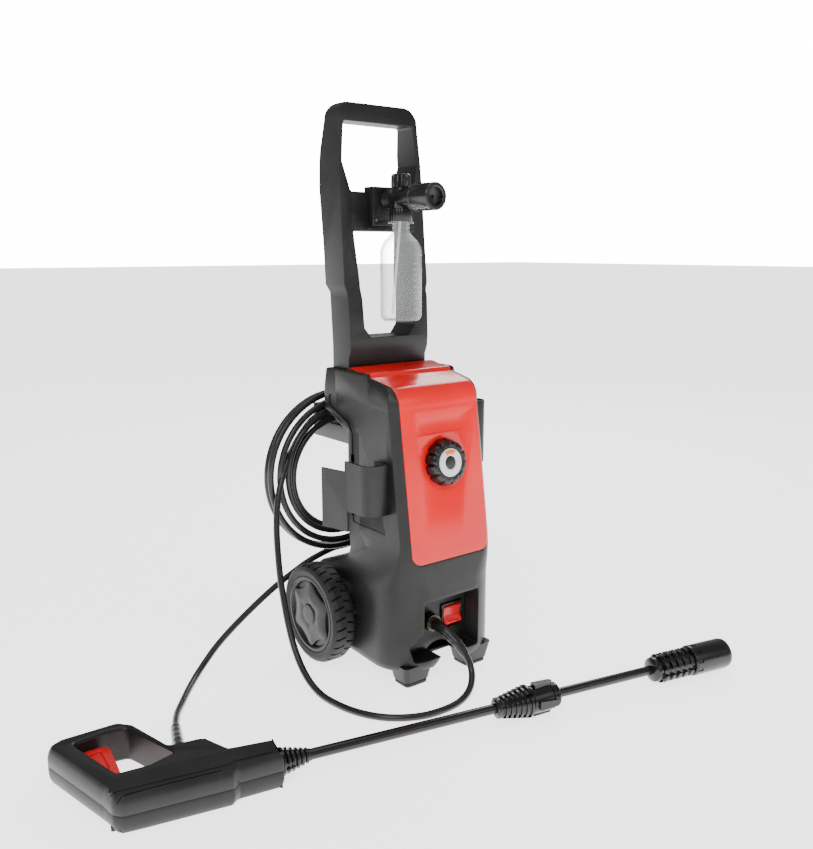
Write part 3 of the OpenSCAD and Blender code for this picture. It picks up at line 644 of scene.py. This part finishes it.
def body_form(name, i):
    """The whole body as one closed shape, every face moved in by i."""
    rings = []
    for z in LEVELS:
        round_part = 1 - ease((z - 134) / 70)
        half = mix(BODY_HALF, 95, round_part)
        rear_half = mix(BODY_HALF, 89, 1 - ease((z - 128) / 36))
        tuck = 4 * (1 - math.sin(math.radians(90 * min(1, (z - 22) / 12)))) if z < 34 else 0
        front = mix(panel_y(z), -103, 1 - ease((z - 128) / 76))
        rings.append(body_ring(half - i - tuck, rear_half - i - tuck, front + i + tuck,
                               from_table(REAR, z) - i, round_part, PANEL_BEVEL, mix(5, 15, round_part),
                               lambda y, z=z: z + (i if z == LEVELS[0] else 0)))
    for k in range(9):
        a = math.radians(90 * k / 8)
        over = 1 - math.cos(a)
        tilt = mix(SIDE_TILT, ROOF_TILT, math.sin(a))
        top = mix(SIDE_TOP - i, ROOF_TOP - i, math.sin(a))
        rings.append(body_ring(mix(BODY_HALF, 72, over) - i, mix(BODY_HALF, 77, over) - i,
                               mix(panel_y(390), -54, over) + i, 39 - i, 0, mix(PANEL_BEVEL, 9, over), 5,
                               lambda y, top=top, tilt=tilt: top + y * tilt))
    form = loft(name, rings)
    block = [(-20, 345 + i), (39 + i, 345 + i), (96 - i, 372 + i), (96 - i, 404 - i), (90 - i, 432 - i),
             (-8, 432 - i), (-20, 404)]
    side = BODY_HALF + 0.7 - i
    sections = ((-side, 2.6), (-side + 0.8, 1.0), (-side + 2.4, 0), (side - 2.4, 0), (side - 0.8, 1.0), (side, 2.6))
    profile = rounded(block, 5, True, 3)
    top_block = loft("top_block", [[(x, y, z) for y, z in shrunk(profile, by)] for x, by in sections])
    return cut(form, top_block, "UNION")


def recess_form(i):
    outline = [(50 + i, 122 + i), (-50 - i, 122 + i), (-50 - i, 80 + i), (-70 - i, 58), (-64 - i, 36 - i),
               (50 + i, 36 - i)]
    return slab("recess_form", rounded(outline, 5, True, 4), -300, -70 + i, "Y")


def cover_form(grow):
    g = 69 + grow
    low = 178 - grow
    front = [*arc(g - 15, low + 15, 15, -90, 0, 8), (g, 500), (-g, 500), *arc(15 - g, low + 15, 15, 180, 270, 8)]
    tool = slab("cover_form", front, -300, -30, "Y")
    tips = 76 + grow
    roof = [(-g, -120), (-g, -54), (-tips, 45 + grow), (tips, 45 + grow), (g, -54), (g, -120)]
    return cut(tool, slab("roof_form", roof, 385, 485), "UNION")


def box_tool(low, high):
    """A plain cutter between two corners."""
    outline = [(low[0], low[1]), (high[0], low[1]), (high[0], high[1]), (low[0], high[1])]
    return slab("box_tool", outline, low[2], high[2])


def disc_tool(r, low, high, x, z, axis="Y", sides=48):
    ring = [(x + p[0], z + p[1]) for p in arc(0, 0, r, 0, 360 - 360 / sides, sides - 1)]
    return slab("disc_tool", ring, low, high, axis)


outer_form = body_form("outer_form", 0)
inner_form = body_form("inner_form", WALL)

def on_panel(z, out=0.0):
    """A place on the sloping panel, with its Z pointing out of it."""
    return (Matrix.Translation((0, panel_y(z), z)) @ Matrix.Rotation(math.radians(82), 4, "X")
            @ Matrix.Translation((0, 0, out)))


# The knob's dish and the shallow blank field above it
dish = turned("dish", [(0, 10), (40.5, 10), (40.5, 0.4), (38.5, -0.2), (36.8, -1.2), (0, -1.2)])
dish.data.transform(on_panel(311))
cut(outer_form, dish)
badge = slab("badge", rounded([(-38, -10), (38, -10), (38, 10), (-38, 10)], 4, True, 5), -0.7, 6)
badge.data.transform(on_panel(362))
cut(outer_form, badge)
# A shallow field in each side face leaves a raised border
FIELD = [(-55, 214), (26, 214), (26, 344), (36, 358), (83, 378), (83, 394), (30, 396), (-55, 384)]
for side in (-1, 1):
    low, high = sorted((side * (BODY_HALF - 1.1), side * (BODY_HALF + 20)))
    cut(outer_form, slab("field", rounded(FIELD, 6, True, 5), low, high, "X"))

skin = copy_of(outer_form, "cover_skin")
cut(skin, inner_form, keep=True)
cut(skin, cover_form(0), "INTERSECT")

room = copy_of(inner_form, "room")
cut(room, recess_form(WALL))
shell = outer_form
cut(shell, room)
cut(shell, recess_form(0))
bpy.data.objects.remove(inner_form)
neck = box_tool((-70.2, 45.8, 395), (70.2, 86.2, 470))
cut(shell, neck)
seam = slab("seam", SEAM, -300, 300, "X")
rear = copy_of(shell, "rear")
front = shell
cut(front, seam, "INTERSECT", keep=True)
cut(rear, seam)
cut(front, cover_form(0.35))
cut(front, disc_tool(10, -75, -65, -16, 78))
cut(front, box_tool((6, -75, 56), (45, -63, 97)))
cut(front, disc_tool(6.4, -300, 300, 65, 73, "X"))
arch = [(36, 0), (36, 14), *arc(0, 14, 30, 40, 140), (-36, 14), (-36, 0)]
cut(front, slab("arch", arch, -300, -60, "Y"))
for k in range(7):
    cut(rear, box_tool((-35, 24, 212 + 16 * k), (35, 54, 218 + 16 * k)))
for side in (-1, 1):
    for k in range(4):
        cut(rear, box_tool((side * 80 - 6, 21.5, 224 + 26 * k), (side * 80 + 6, 28.5, 236 + 26 * k)))
cut(rear, disc_tool(9.2, 100, 130, 30, 56))
cut(rear, disc_tool(9.7, 100, 130, -35, 90))
for part in (front, rear):
    tidied(part, 0.4)
    bevelled(part, 0.9, 2, 48)
piece(front, "front_housing", "machine", SATIN, nodes=("front_shell",), smooth=40)
piece(rear, "rear_housing", "machine", SATIN, nodes=("rear_shell",), smooth=40)

# ---- red cover ----


hole = turned("hole", [(0, 12), (6, 12), (6, -12), (0, -12)], steps=32)
hole.data.transform(on_panel(311))
cut(skin, hole)
tidied(skin, 0.4)
bevelled(skin, 1.3, 3, 48)
piece(skin, "red_front_cover", "machine", RED, nodes=("front_cover",), smooth=40)

# ---- feet ----

for side, name in ((-1, "left"), (1, "right")):
    rings = []
    for z, grow in ((5.5, -1.5), (7, 0), (14, 1.2), (24, 3.2), (31, 4.5)):
        w, d = 21 + grow, 17 + grow
        outline = rounded([(-w, -d), (w, -d), (w, d), (-w, d)], 8, True, 5)
        rings.append([(side * 55 + x, max(-102, y - 78), z) for x, y in outline])
    piece(loft("foot", rings), name + "_foot", "machine", SATIN)
pads = []
for side in (-1, 1):
    outline = rounded([(-19, -16), (19, -16), (19, 16), (-19, 16)], 7, True, 5)
    pad = slab("pad", [(x + side * 55, y - 78) for x, y in outline], 0, 5.6)
    pads.append(bevelled(pad, 1.4, 3))
piece(join(pads), "rubber_pads", "machine", TYRE, nodes=("foot_pads",))

# ---- handle and the pieces fixed to it ----


def softened(node, name, body, material, width, segments=3, place=MACHINE, degrees=30, smooth=34):
    """The CAD node's own shape with its edges rounded as a moulding's are."""
    obj = cad_copy(node, place)
    if width:
        bevelled(obj, width, segments, degrees)
    return piece(obj, name, body, material, place, (node,), smooth)


handle = softened("handle", "handle_frame", "machine", SATIN, 3.2, 4, degrees=25)
softened("nozzle_rack", "nozzle_bracket", "machine", SATIN, 1.6)
softened("left_holder", "gun_holder", "machine", SATIN, 1.1)
softened("right_bracket", "side_bracket", "machine", SATIN, 1.1)
softened("hose_hook", "hose_hanger", "machine", SATIN, 1.8)
softened("base_plate", "floor_plate", "machine", SATIN, 0.8, 2)
softened("rocker_bezel", "switch_frame", "machine", GLOSS, 1.5)
softened("mains_gland", "lead_gland", "machine", GLOSS, 0.9, 2)

# ---- switch, knob and outlet ----

rocker_shape = [(2, -13), (-11.2, -13.6), (-12.6, -11), (-10.3, -2), (-10, 0), (-10.3, 2), (-12.6, 11),
                (-11.2, 13.6), (2, 13)]
rocker = slab("rocker_cap", rounded(rocker_shape, 1.6, True, 3), -15.5, 15.5, "X")
for z in (-9, -7, -5):
    cut(rocker, box_tool((-9, -16, z - 0.45), (9, -10.8, z + 0.45)))
bevelled(rocker, 1.1, 3, 40)
rocker = join([rocker, turned("rocker_pin", rounded([(0, -20.4), (2, -20.4), (2, 20.4), (0, 20.4)], 0.4),
                              "X", steps=32)])
rocker.data.transform(Matrix.Translation((25.5, -62, 76.5)) @ Matrix.Rotation(math.radians(-9), 4, "X"))
piece(rocker, "power_rocker", "rocker", RED_PART, nodes=("rocker",))


def notched_outline(radius, count, depth, steps=10, sharp=2.2):
    """A round outline with shallow scallops."""
    points = []
    for k in range(count * steps):
        a = FULL * k / (count * steps)
        dip = max(0.0, math.cos(a * count)) ** sharp
        r = radius - depth * dip
        points.append((r * math.cos(a), r * math.sin(a)))
    return points


KNOB_Z, KNOB_R, KNOB_DEPTH = 311, 33, 14
levels = [(-0.6, 0.0), (1.2, 0.0), (2.4, -0.4), (5, -0.9), (9, -1.9), (11.6, -2.9), (13.2, -3.9), (14, -5.4),
          (14, -9.2), (13.1, -10.3)]
rings = []
for h, grow in levels:
    deep = 3.4 if h < 12 else 3.0
    rings.append([(x, y, h) for x, y in notched_outline(KNOB_R + grow, 12, deep, 10, 3)])
knob = loft("knob", rings)
cut(knob, turned("well", [(0, 11.9), (19.6, 11.9), (19.6, 20), (0, 20)]))
spindle = turned("spindle", rounded([(0, -14), (4, -14), (4, 0), (0, 0)], 0.5), steps=32)
pointer = slab("pointer", rounded([(21.4, -1.3), (27, -1.3), (27, 1.3), (21.4, 1.3)], 0.9, True, 3), 12.6, 14.5)
pointer.data.transform(Matrix.Rotation(math.radians(90), 4, "Z"))
knob = join([knob, spindle, bevelled(pointer, 0.3, 2)])
knob.data.transform(on_panel(KNOB_Z))
piece(knob, "pressure_knob", "knob", GLOSS, nodes=("knob",), smooth=38)
ring_profile = rounded([(9.4, 11.9), (19.5, 11.9), (19.5, 13.9), (18.7, 14.5), (10.2, 14.5), (9.4, 13.8)], 0.3,
                       True, 3)
ring = turned("ring", ring_profile, closed=True)
ring.data.transform(on_panel(KNOB_Z))
piece(ring, "knob_face_ring", "knob", WHITE, nodes=("knob_ring",))
wedge = [*arc(0, 0, 17.9, 58, 122, 16), *arc(0, 0, 11.6, 122, 58, 16)]
mark = bevelled(slab("mark", wedge, 14.3, 14.75), 0.15, 2)
mark.data.transform(on_panel(KNOB_Z))
piece(mark, "knob_power_mark", "knob", ORANGE)
button = turned("button", rounded([(0, 12), (9.3, 12), (9.3, 13.3), (7.6, 14.1), (0, 14.4)], 0.5))
button.data.transform(on_panel(KNOB_Z))
piece(button, "knob_button", "knob", GLOSS)

nut = slab("nut", notched_outline(13, 12, 1.1, 8, 2), -82, -71, "Y")
nut.data.transform(Matrix.Translation((-16, 0, 78)))
cut(nut, disc_tool(8.5, -90, -60, -16, 78))
bevelled(nut, 0.7, 2, 40)
piece(nut, "outlet_ring_nut", "machine", GLOSS, nodes=("outlet_nut",))

# ---- wheels ----


def wheel(side, body, label):
    at = Matrix.Translation((side * 95, 65, 73)) @ Matrix.Rotation(math.radians(90 * side), 4, "Y")
    tread = [(56, 2), (65, 1.2), (70.4, 4), (73, 9.5), (73, 30.5), (70.4, 36), (65, 38.8), (56, 37)]
    tyre = turned("tyre", rounded(tread, 3, True, 4), steps=144, closed=True)
    lugs = []
    for k in range(30):
        for row, low in ((0, -2), (0.5, 21)):
            lug = box_tool((69.6, -1.5, low), (78, 1.5, low + 21))
            turn = Matrix.Rotation(math.radians(12 * (k + row)), 4, "Z")
            lean = Matrix.Translation((72, 0, 20)) @ Matrix.Rotation(math.radians(14 if row else -14), 4, "X")
            lug.data.transform(turn @ lean @ Matrix.Translation((-72, 0, -20)))
            lugs.append(lug)
    cut(tyre, join(lugs))
    tyre.data.transform(at)
    piece(tyre, label + "_tyre", body, TYRE, nodes=("tyre_" + label,), smooth=30)
    dish = [(6.05, 0), (14, 0), (14, 8), (50, 8), (50, 3), (56, 2), (56, 37), (52, 37.2), (50, 35.6),
            (48, 32), (20, 33.5), (16.5, 37), (14, 39.4), (0, 40), (0, 36), (6.05, 36)]
    hub = turned("hub", rounded(dish, 0.8, False, 3), steps=96, closed=True)
    star = []
    for k in range(96):
        a = FULL * k / 96
        r = 44 + 4.6 * math.cos(6 * a) + 1.0 * math.cos(12 * a)
        star.append((r * math.cos(a), r * math.sin(a)))
    plate = loft("plate", [[(x * s, y * s, h) for x, y in star] for s, h in
                           ((1, 30), (1, 34.4), (0.98, 35.8), (0.93, 36.6), (0.66, 38.6), (0.55, 38.9), (0.42, 38.2), (0.3, 37.4))])
    cut(hub, plate, "UNION")
    hub.data.transform(at)
    piece(hub, label + "_hub", body, SATIN, nodes=("hub_" + label,), smooth=34)


wheel(-1, "wheel_left", "left")
wheel(1, "wheel_right", "right")

# ---- foam set ----

FOAM_Z, BOTTLE_Y = 669, 15
collar = [(0, 46), (11.6, 46), (11.6, 45.4), (11.8, 45.2)]
for k in range(4):
    y = 43.2 - 4 * k
    collar += [(11.9, y + 1.5), (13.4, y + 0.9), (13.4, y - 0.9), (11.9, y - 1.5)]
collar += [(13.5, 28.5), (13.5, -15.6), (12.6, -17), (8, -17), (8, -43.2), (7.2, -44), (2.5, -44), (2.5, 46)]
foam = turned("foam", rounded(collar, 0.5, False, 2), "Y", (0, 0, FOAM_Z), 64, True)
plug = turned("plug", rounded([(2.5, 46), (11, 46), (11, 61), (10, 62), (2.5, 62)], 0.3, True, 2), "Y",
              (0, 0, FOAM_Z), 64, True)
tower = turned("tower", rounded([(0, 655), (13, 655), (13, 672), (12.4, 674), (12, 683.4), (4.1, 683.4),
                                 (4.1, 676), (0, 676)], 0.7, False, 3), "Z", (0, BOTTLE_Y, 0), 64)
cut(foam, tower, "UNION")
foam = join([foam, plug])
piece(foam, "foam_mixer_body", "foam_set", GLOSS, nodes=("foam_body",), smooth=34)
cap_outline = notched_outline(16, 20, 0.7, 6, 1.5)
cap = slab("cap", cap_outline, 638, 655)
cap.data.transform(Matrix.Translation((0, BOTTLE_Y, 0)))
cut(cap, turned("cap_bore", [(0, 630), (12.4, 630), (12.4, 652.6), (0, 652.6)], "Z", (0, BOTTLE_Y, 0)))
bevelled(cap, 0.8, 2, 50)
piece(cap, "foam_mixer_cap", "foam_set", GLOSS, nodes=("foam_cap",))
top = loft("top", [[(x, y + BOTTLE_Y, h) for x, y in notched_outline(14 + g, 8, 2.4, 12, 2.4)]
                   for h, g in ((684, -0.8), (685, 0), (699, -0.3), (701, -1.2), (702, -2.6))])
stem = turned("stem", [(0, 676.2), (4, 676.2), (4, 685), (0, 685)], "Z", (0, BOTTLE_Y, 0), 32)
line = box_tool((-0.8, BOTTLE_Y - 11, 701.3), (0.8, BOTTLE_Y - 2, 702.8))
cut(top, line)
piece(join([top, stem]), "foam_dose_knob", "foam_knob", GLOSS, nodes=("foam_knob",))
barrel = [(8.06, -17.4), (16.2, -17.4), (18.5, -19.4), (18.5, -23), (17.9, -23.5), (17.9, -25), (18.5, -25.5),
          (18.5, -60.4), (17.4, -62), (13.2, -62), (12, -61), (11.4, -54), (2, -54), (2, -44.4), (8.06, -44.4)]
barrel = turned("barrel", rounded(barrel, 0.5, True, 3), "Y", (0, 0, FOAM_Z), 72, True)
for a in (0, 120, 240):
    slot = box_tool((-1.1, -52, FOAM_Z + 17.6), (1.1, -27, FOAM_Z + 20))
    middle = Vector((0, 0, FOAM_Z))
    slot.data.transform(Matrix.Translation(middle) @ Matrix.Rotation(math.radians(a - 40), 4, "Y")
                        @ Matrix.Translation(-middle))
    cut(barrel, slot)
piece(barrel, "foam_spray_barrel", "foam_nozzle", GLOSS, nodes=("foam_nozzle",))

flask = [(0, 2), (23.5, 2), (26.6, 3.6), (28, 7), (28, 95), (26.8, 101), (23, 109), (15, 117), (11.6, 121),
         (10.5, 124), (10.5, 152), (12, 152), (12, 150), (12, 137.6), (18.4, 137.4), (18.4, 134.6), (12, 134.4),
         (12, 131), (12.9, 130.4), (12.9, 129.2), (12, 128.6), (12, 124.6), (13.4, 121.6), (16, 119), (24.4, 110.4),
         (28.4, 102), (29.5, 96), (29.5, 92), (29.1, 91), (29.5, 90), (29.5, 8), (28, 3.4), (25, 0.4), (22, 0),
         (19, 1), (0, 1)]
flask = turned("flask", [(r, h + 500) for r, h in rounded(flask, 1.2, False, 3)], "Z", (0, BOTTLE_Y, 0), 96, True)
piece(flask, "foam_bottle", "bottle", CLEAR, nodes=("bottle",), smooth=50)
ticks = []
for k in range(9):
    width = 5.5 if k % 2 else 8.5
    outline = [(p[0], p[1]) for p in arc(0, 0, 29.48, -92, -92 + 2 * width, 6)]
    outline += [(p[0], p[1]) for p in arc(0, 0, 29.2, -92 + 2 * width, -92, 6)]
    ticks.append(slab("tick", [(x, y + BOTTLE_Y) for x, y in outline], 516 + 8 * k, 516.7 + 8 * k))
piece(join(ticks), "bottle_level_marks", "bottle", CLEAR_TUBE)
tube_top, tube_foot = Vector((0, BOTTLE_Y, 652)), Vector((-14.9, BOTTLE_Y, 510.2))
straw_line = [tube_top.lerp(tube_foot, t / 6) for t in range(7)]
piece(tube("straw", straw_line, [2] * 7, 20), "suction_tube", "foam_set", CLEAR_TUBE,
      nodes=("dip_tube",))

# ---- gun ----

GUN_OUTLINE = [(-24, -20, 3), (-24, 17, 3), (-76, 21, 2), (-94, 52, 5), (-102, 56, 5), (-136, 56, 6), (-166, 119, 14),
               (-184, 133, 16), (-250, 121, 16), (-268, 108, 14), (-218, -2, 14), (-211, -23, 14), (-202, -30, 12),
               (-84, -30, 6), (-76, -22, 4)]
OPENING = [(-237, 103, 6), (-198, 115, 8), (-176, 115, 9), (-134, 38, 7), (-165, 24, 8), (-200, 22, 5)]
TRIGGER_SLOT = [(-252, 96), (-236, 101.5), (-190, 101.5), (-188, 16), (-194, 3), (-213, 3), (-216, 20)]
HALF_THICK = 22.5


def gun_half(up):
    """One shell of the gun, with its split line at z = 0."""
    sign = 1 if up else -1
    outline = rounded(GUN_OUTLINE, 6, True, 5)
    rings = []
    for z, shrink in ((0, 0.4), (0.6, 0), (9.5, 0), (13.5, 0.7), (17.2, 2.0), (20, 3.4), (22, 4.8)):
        rings.append([(x, y, sign * z) for x, y in shrunk(outline, shrink)])
    shape = loft("shell", rings)
    well = slab("well", rounded(OPENING, 6, True, 5), -40, 40)
    cut(shape, well)
    flare = loft("flare", [[(x, y, sign * z) for x, y in shrunk(rounded(OPENING, 6, True, 5), -g)]
                           for z, g in ((18.2, 0.05), (20.0, 0.9), (21.2, 2.2), (21.9, 3.8), (22.9, 5.6))])
    cut(shape, flare)
    rib = [(-214, -16), (-88, -16), (-80, -12), (-34, -12), (-34, 8), (-80, 12), (-168, 12), (-206, 6)]
    raised = slab("raised", rounded(rib, 3, True, 4), *sorted((sign * 18, sign * 22.5)))
    cut(shape, raised, "UNION")
    groove = [(-206, -26), (-150, -24.5), (-96, -24.5), (-96, -22.9), (-150, -22.9), (-206, -24.4)]
    cut(shape, slab("groove", groove, *sorted((sign * 13.2, sign * 30))))
    cut(shape, slab("slot", TRIGGER_SLOT, -9.5, 9.5))
    cut(shape, disc_tool(10, -40, -20, 0, 0, "X"))
    cut(shape, disc_tool(6.2, 45, 60, -122, 0))
    return tidied(shape, 0.4)


piece(gun_half(True), "gun_upper_half", "machine", SATIN, GUN, ("gun_shell_upper",), 40)
piece(gun_half(False), "gun_lower_half", "machine", SATIN, GUN, ("gun_shell_lower",), 40)
trigger = [(-236, 100), (-220, 104), (-203, 106), (-198, 101), (-194.5, 60), (-193, 30), (-194, 14), (-200, 6), (-208, 6),
           (-213, 16), (-210, 30), (-216, 52)]
lever = slab("lever", rounded(trigger, 3, True, 4), -8, 8)
cut(lever, slab("scoop", rounded([(-228, 92), (-208, 98), (-203, 60), (-206, 40), (-211, 52)], 4, True, 3), 5.4, 12))
bevelled(lever, 1.5, 4, 45)
cut(lever, disc_tool(3.1, -20, 20, -204, 14, "Z", 32))
piece(lever, "spray_trigger", "trigger", RED_PART, GUN, ("trigger",))

# ---- lance, turned about the gun's own X ----


def ribbed(start, count, pitch, thick, radius, grow, root, body_end, root_grow=None):
    """A ribbed cone's section: (radius, place) points out along the ribs."""
    points = []
    root_grow = grow if root_grow is None else root_grow
    for k in range(count):
        u = start + pitch * k
        r, inner = radius + grow * k, root + root_grow * k
        points += [(inner, u), (r - 0.4, u), (r, u + 0.5), (r, u + thick - 0.5), (r - 0.4, u + thick),
                   (inner, u + thick)]
    return points + [(root + root_grow * (count - 1), body_end)]


def notches(obj, start, end, radius, depth, width, count=4, angle=45):
    for k in range(count):
        tool = box_tool((start, -width / 2, radius - depth), (end, width / 2, radius + 12))
        tool.data.transform(Matrix.Rotation(math.radians(angle + 360 * k / count), 4, "X"))
        cut(obj, tool)
    return obj


boot = [(6.5, -23.5)] + ribbed(-23.5, 6, 6, 3, 16.5, -1.5, 13.0, 12.8, -1.15) + [(6.5, 12.8)]
boot = notches(turned("boot", boot, "X", steps=64, closed=True), -20.6, 12, 14.5, 3, 5, 4, 0)
rod_one = turned("rod_one", rounded([(3, -60), (6.5, -60), (6.5, 264), (3, 264)], 0.4, True, 3), "X", closed=True)
cone = [(3, 262), (9, 262), (11, 264)] + ribbed(264, 7, 7, 4, 13.5, 1.3, 10.8, 311.4)
cone += [(10, 312), (10, 333.4), (9.2, 334), (6.55, 334), (6.55, 286), (3, 286)]
cone = turned("cone", cone, "X", steps=72, closed=True)
notches(cone, 268.5, 309, 15.5, 3.4, 6)
piece(join([rod_one, boot, cone]), "rear_lance_tube", "rear_lance", GLOSS, GUN, ("rear_lance",), 34)
cup = [(10.06, 312.4), (17, 312.4), (18, 313.4), (18, 341), (17.2, 342), (15.8, 342.4), (15.8, 344), (17, 344.4),
       (17, 347.4), (15.2, 348), (15.2, 349.6), (16, 350), (16, 353.6), (14.6, 355), (6.5, 355), (6.5, 334.5),
       (10.06, 334.5)]
cup = turned("cup", rounded(cup, 0.3, True, 2), "X", steps=72, closed=True)
for k in range(4):
    fin = slab("fin", rounded([(318, -6), (345, -4), (348, 0), (345, 4), (318, 6)], 1.5, True, 3), 12, 21.6)
    fin.data.transform(Matrix.Rotation(math.radians(90 * k), 4, "X"))
    cut(cup, fin, "UNION")
rod_two = turned("rod_two", rounded([(3, 288), (6.5, 288), (6.5, 516), (3, 516)], 0.4, True, 3), "X", closed=True)
grip = [(3, 514), (10, 514), (13, 515.4), (16.4, 516.5), (17, 518), (17, 521), (16, 522), (15.2, 522.4)]
for k in range(5):
    u = 527 + 11 * k
    r = 14.6 + 0.6 * k
    grip += [(r, u - 0.6), (19.6, u), (20.4, u + 0.8), (20.4, u + 5), (19.6, u + 5.8), (r, u + 6.2)]
grip += [(17, 579), (9, 580), (9, 609.2), (8.2, 610), (3, 610)]
grip = turned("grip", grip, "X", steps=72, closed=True)
notches(grip, 523, 578, 17.4, 1.8, 8, 6, 30)
piece(join([cup, rod_two, grip]), "front_lance_tube", "front_lance", GLOSS, GUN, ("front_lance",), 34)
head = [(9.06, 580.4), (19.6, 580.4), (21, 581.6), (21.5, 584), (21.5, 640), (20.8, 644.6), (18.6, 647), (15, 647),
        (13.6, 645.6), (13, 642), (13, 626), (2, 626), (2, 610.5), (9.06, 610.5)]
head = turned("head", rounded(head, 0.6, True, 3), "X", steps=96, closed=True)
notches(head, 584, 592, 21.3, 0.9, 5, 10, 0)
piece(head, "spray_head", "lance_nozzle", GLOSS, GUN, ("lance_nozzle",), 34)

# ---- small fixings and the working parts inside ----

softened("switch_box", "switch_housing", "machine", GLOSS, 0.8, 2)
softened("water_inlet", "garden_hose_inlet", "machine", BRASS, 0.5, 2)
softened("outlet_fitting", "outlet_pipe", "machine", BRASS, 0.4, 2)
softened("stop_switch", "valve_switch", "machine", GLOSS, 0.8, 2)
softened("capacitor", "motor_capacitor", "machine", CAST, 1.2, 3)
softened("gearbox_plate", "gear_plate", "machine", CAST, 0.8, 2)
softened("pump_case", "pump_body", "machine", CAST, 0.8, 2)
softened("axle", "wheel_axle", "machine", STEEL, 0.6, 2)

for name, obj in frame["nodes"].items():
    if obj.hide_render:
        continue
    slot_name = {s["node"]: s["material_slot"] for s in frame["record"]["subparts"]}[name]
    obj.data.materials.clear()
    obj.data.materials.append(MATERIAL[slot_name])

# ---- floor and light ----

deselect()
bpy.ops.mesh.primitive_plane_add(size=60)
floor = bpy.context.object
floor.name = "floor"
paper = Sheet("paper_floor")
fibre = paper.noise(30.0, 3.0)
floor.data.materials.append(paper.finish(
    Base_Color=paper.mix(fibre * 0.2, (0.93, 0.93, 0.93), (0.96, 0.96, 0.96)), Roughness=0.9,
    Specular_IOR_Level=0.1, Emission_Color=(1, 1, 1, 1), Emission_Strength=2.3))

world = bpy.data.worlds.new("world")
world.use_nodes = True
sky = world.node_tree.nodes["Background"]
sky.inputs[0].default_value = (1, 1, 1, 1)
seen = world.node_tree.nodes.new("ShaderNodeLightPath")
power = world.node_tree.nodes.new("ShaderNodeMapRange")
power.inputs["To Min"].default_value = 0.35
power.inputs["To Max"].default_value = 16.0
world.node_tree.links.new(seen.outputs["Is Camera Ray"], power.inputs["Value"])
world.node_tree.links.new(power.outputs[0], sky.inputs[1])
scene.world = world


def area_light(name, place, target, size, power):
    data = bpy.data.lights.new(name, "AREA")
    data.shape = "RECTANGLE"
    data.size, data.size_y = size
    data.energy = power
    light = bpy.data.objects.new(name, data)
    scene.collection.objects.link(light)
    light.location = place
    light.rotation_euler = (Vector(target) - Vector(place)).to_track_quat("-Z", "Y").to_euler()


area_light("key", (-1.6, -1.2, 1.9), (0, 0, 0.3), (1.2, 1.2), 26)
area_light("front_fill", (0.7, -2.0, 1.2), (0, 0, 0.25), (1.4, 0.8), 5)
area_light("rim", (1.6, 1.2, 1.8), (0, 0, 0.35), (1.0, 1.0), 20)
area_light("top", (0, 0.1, 2.6), (0, 0, 0), (1.6, 1.6), 14)
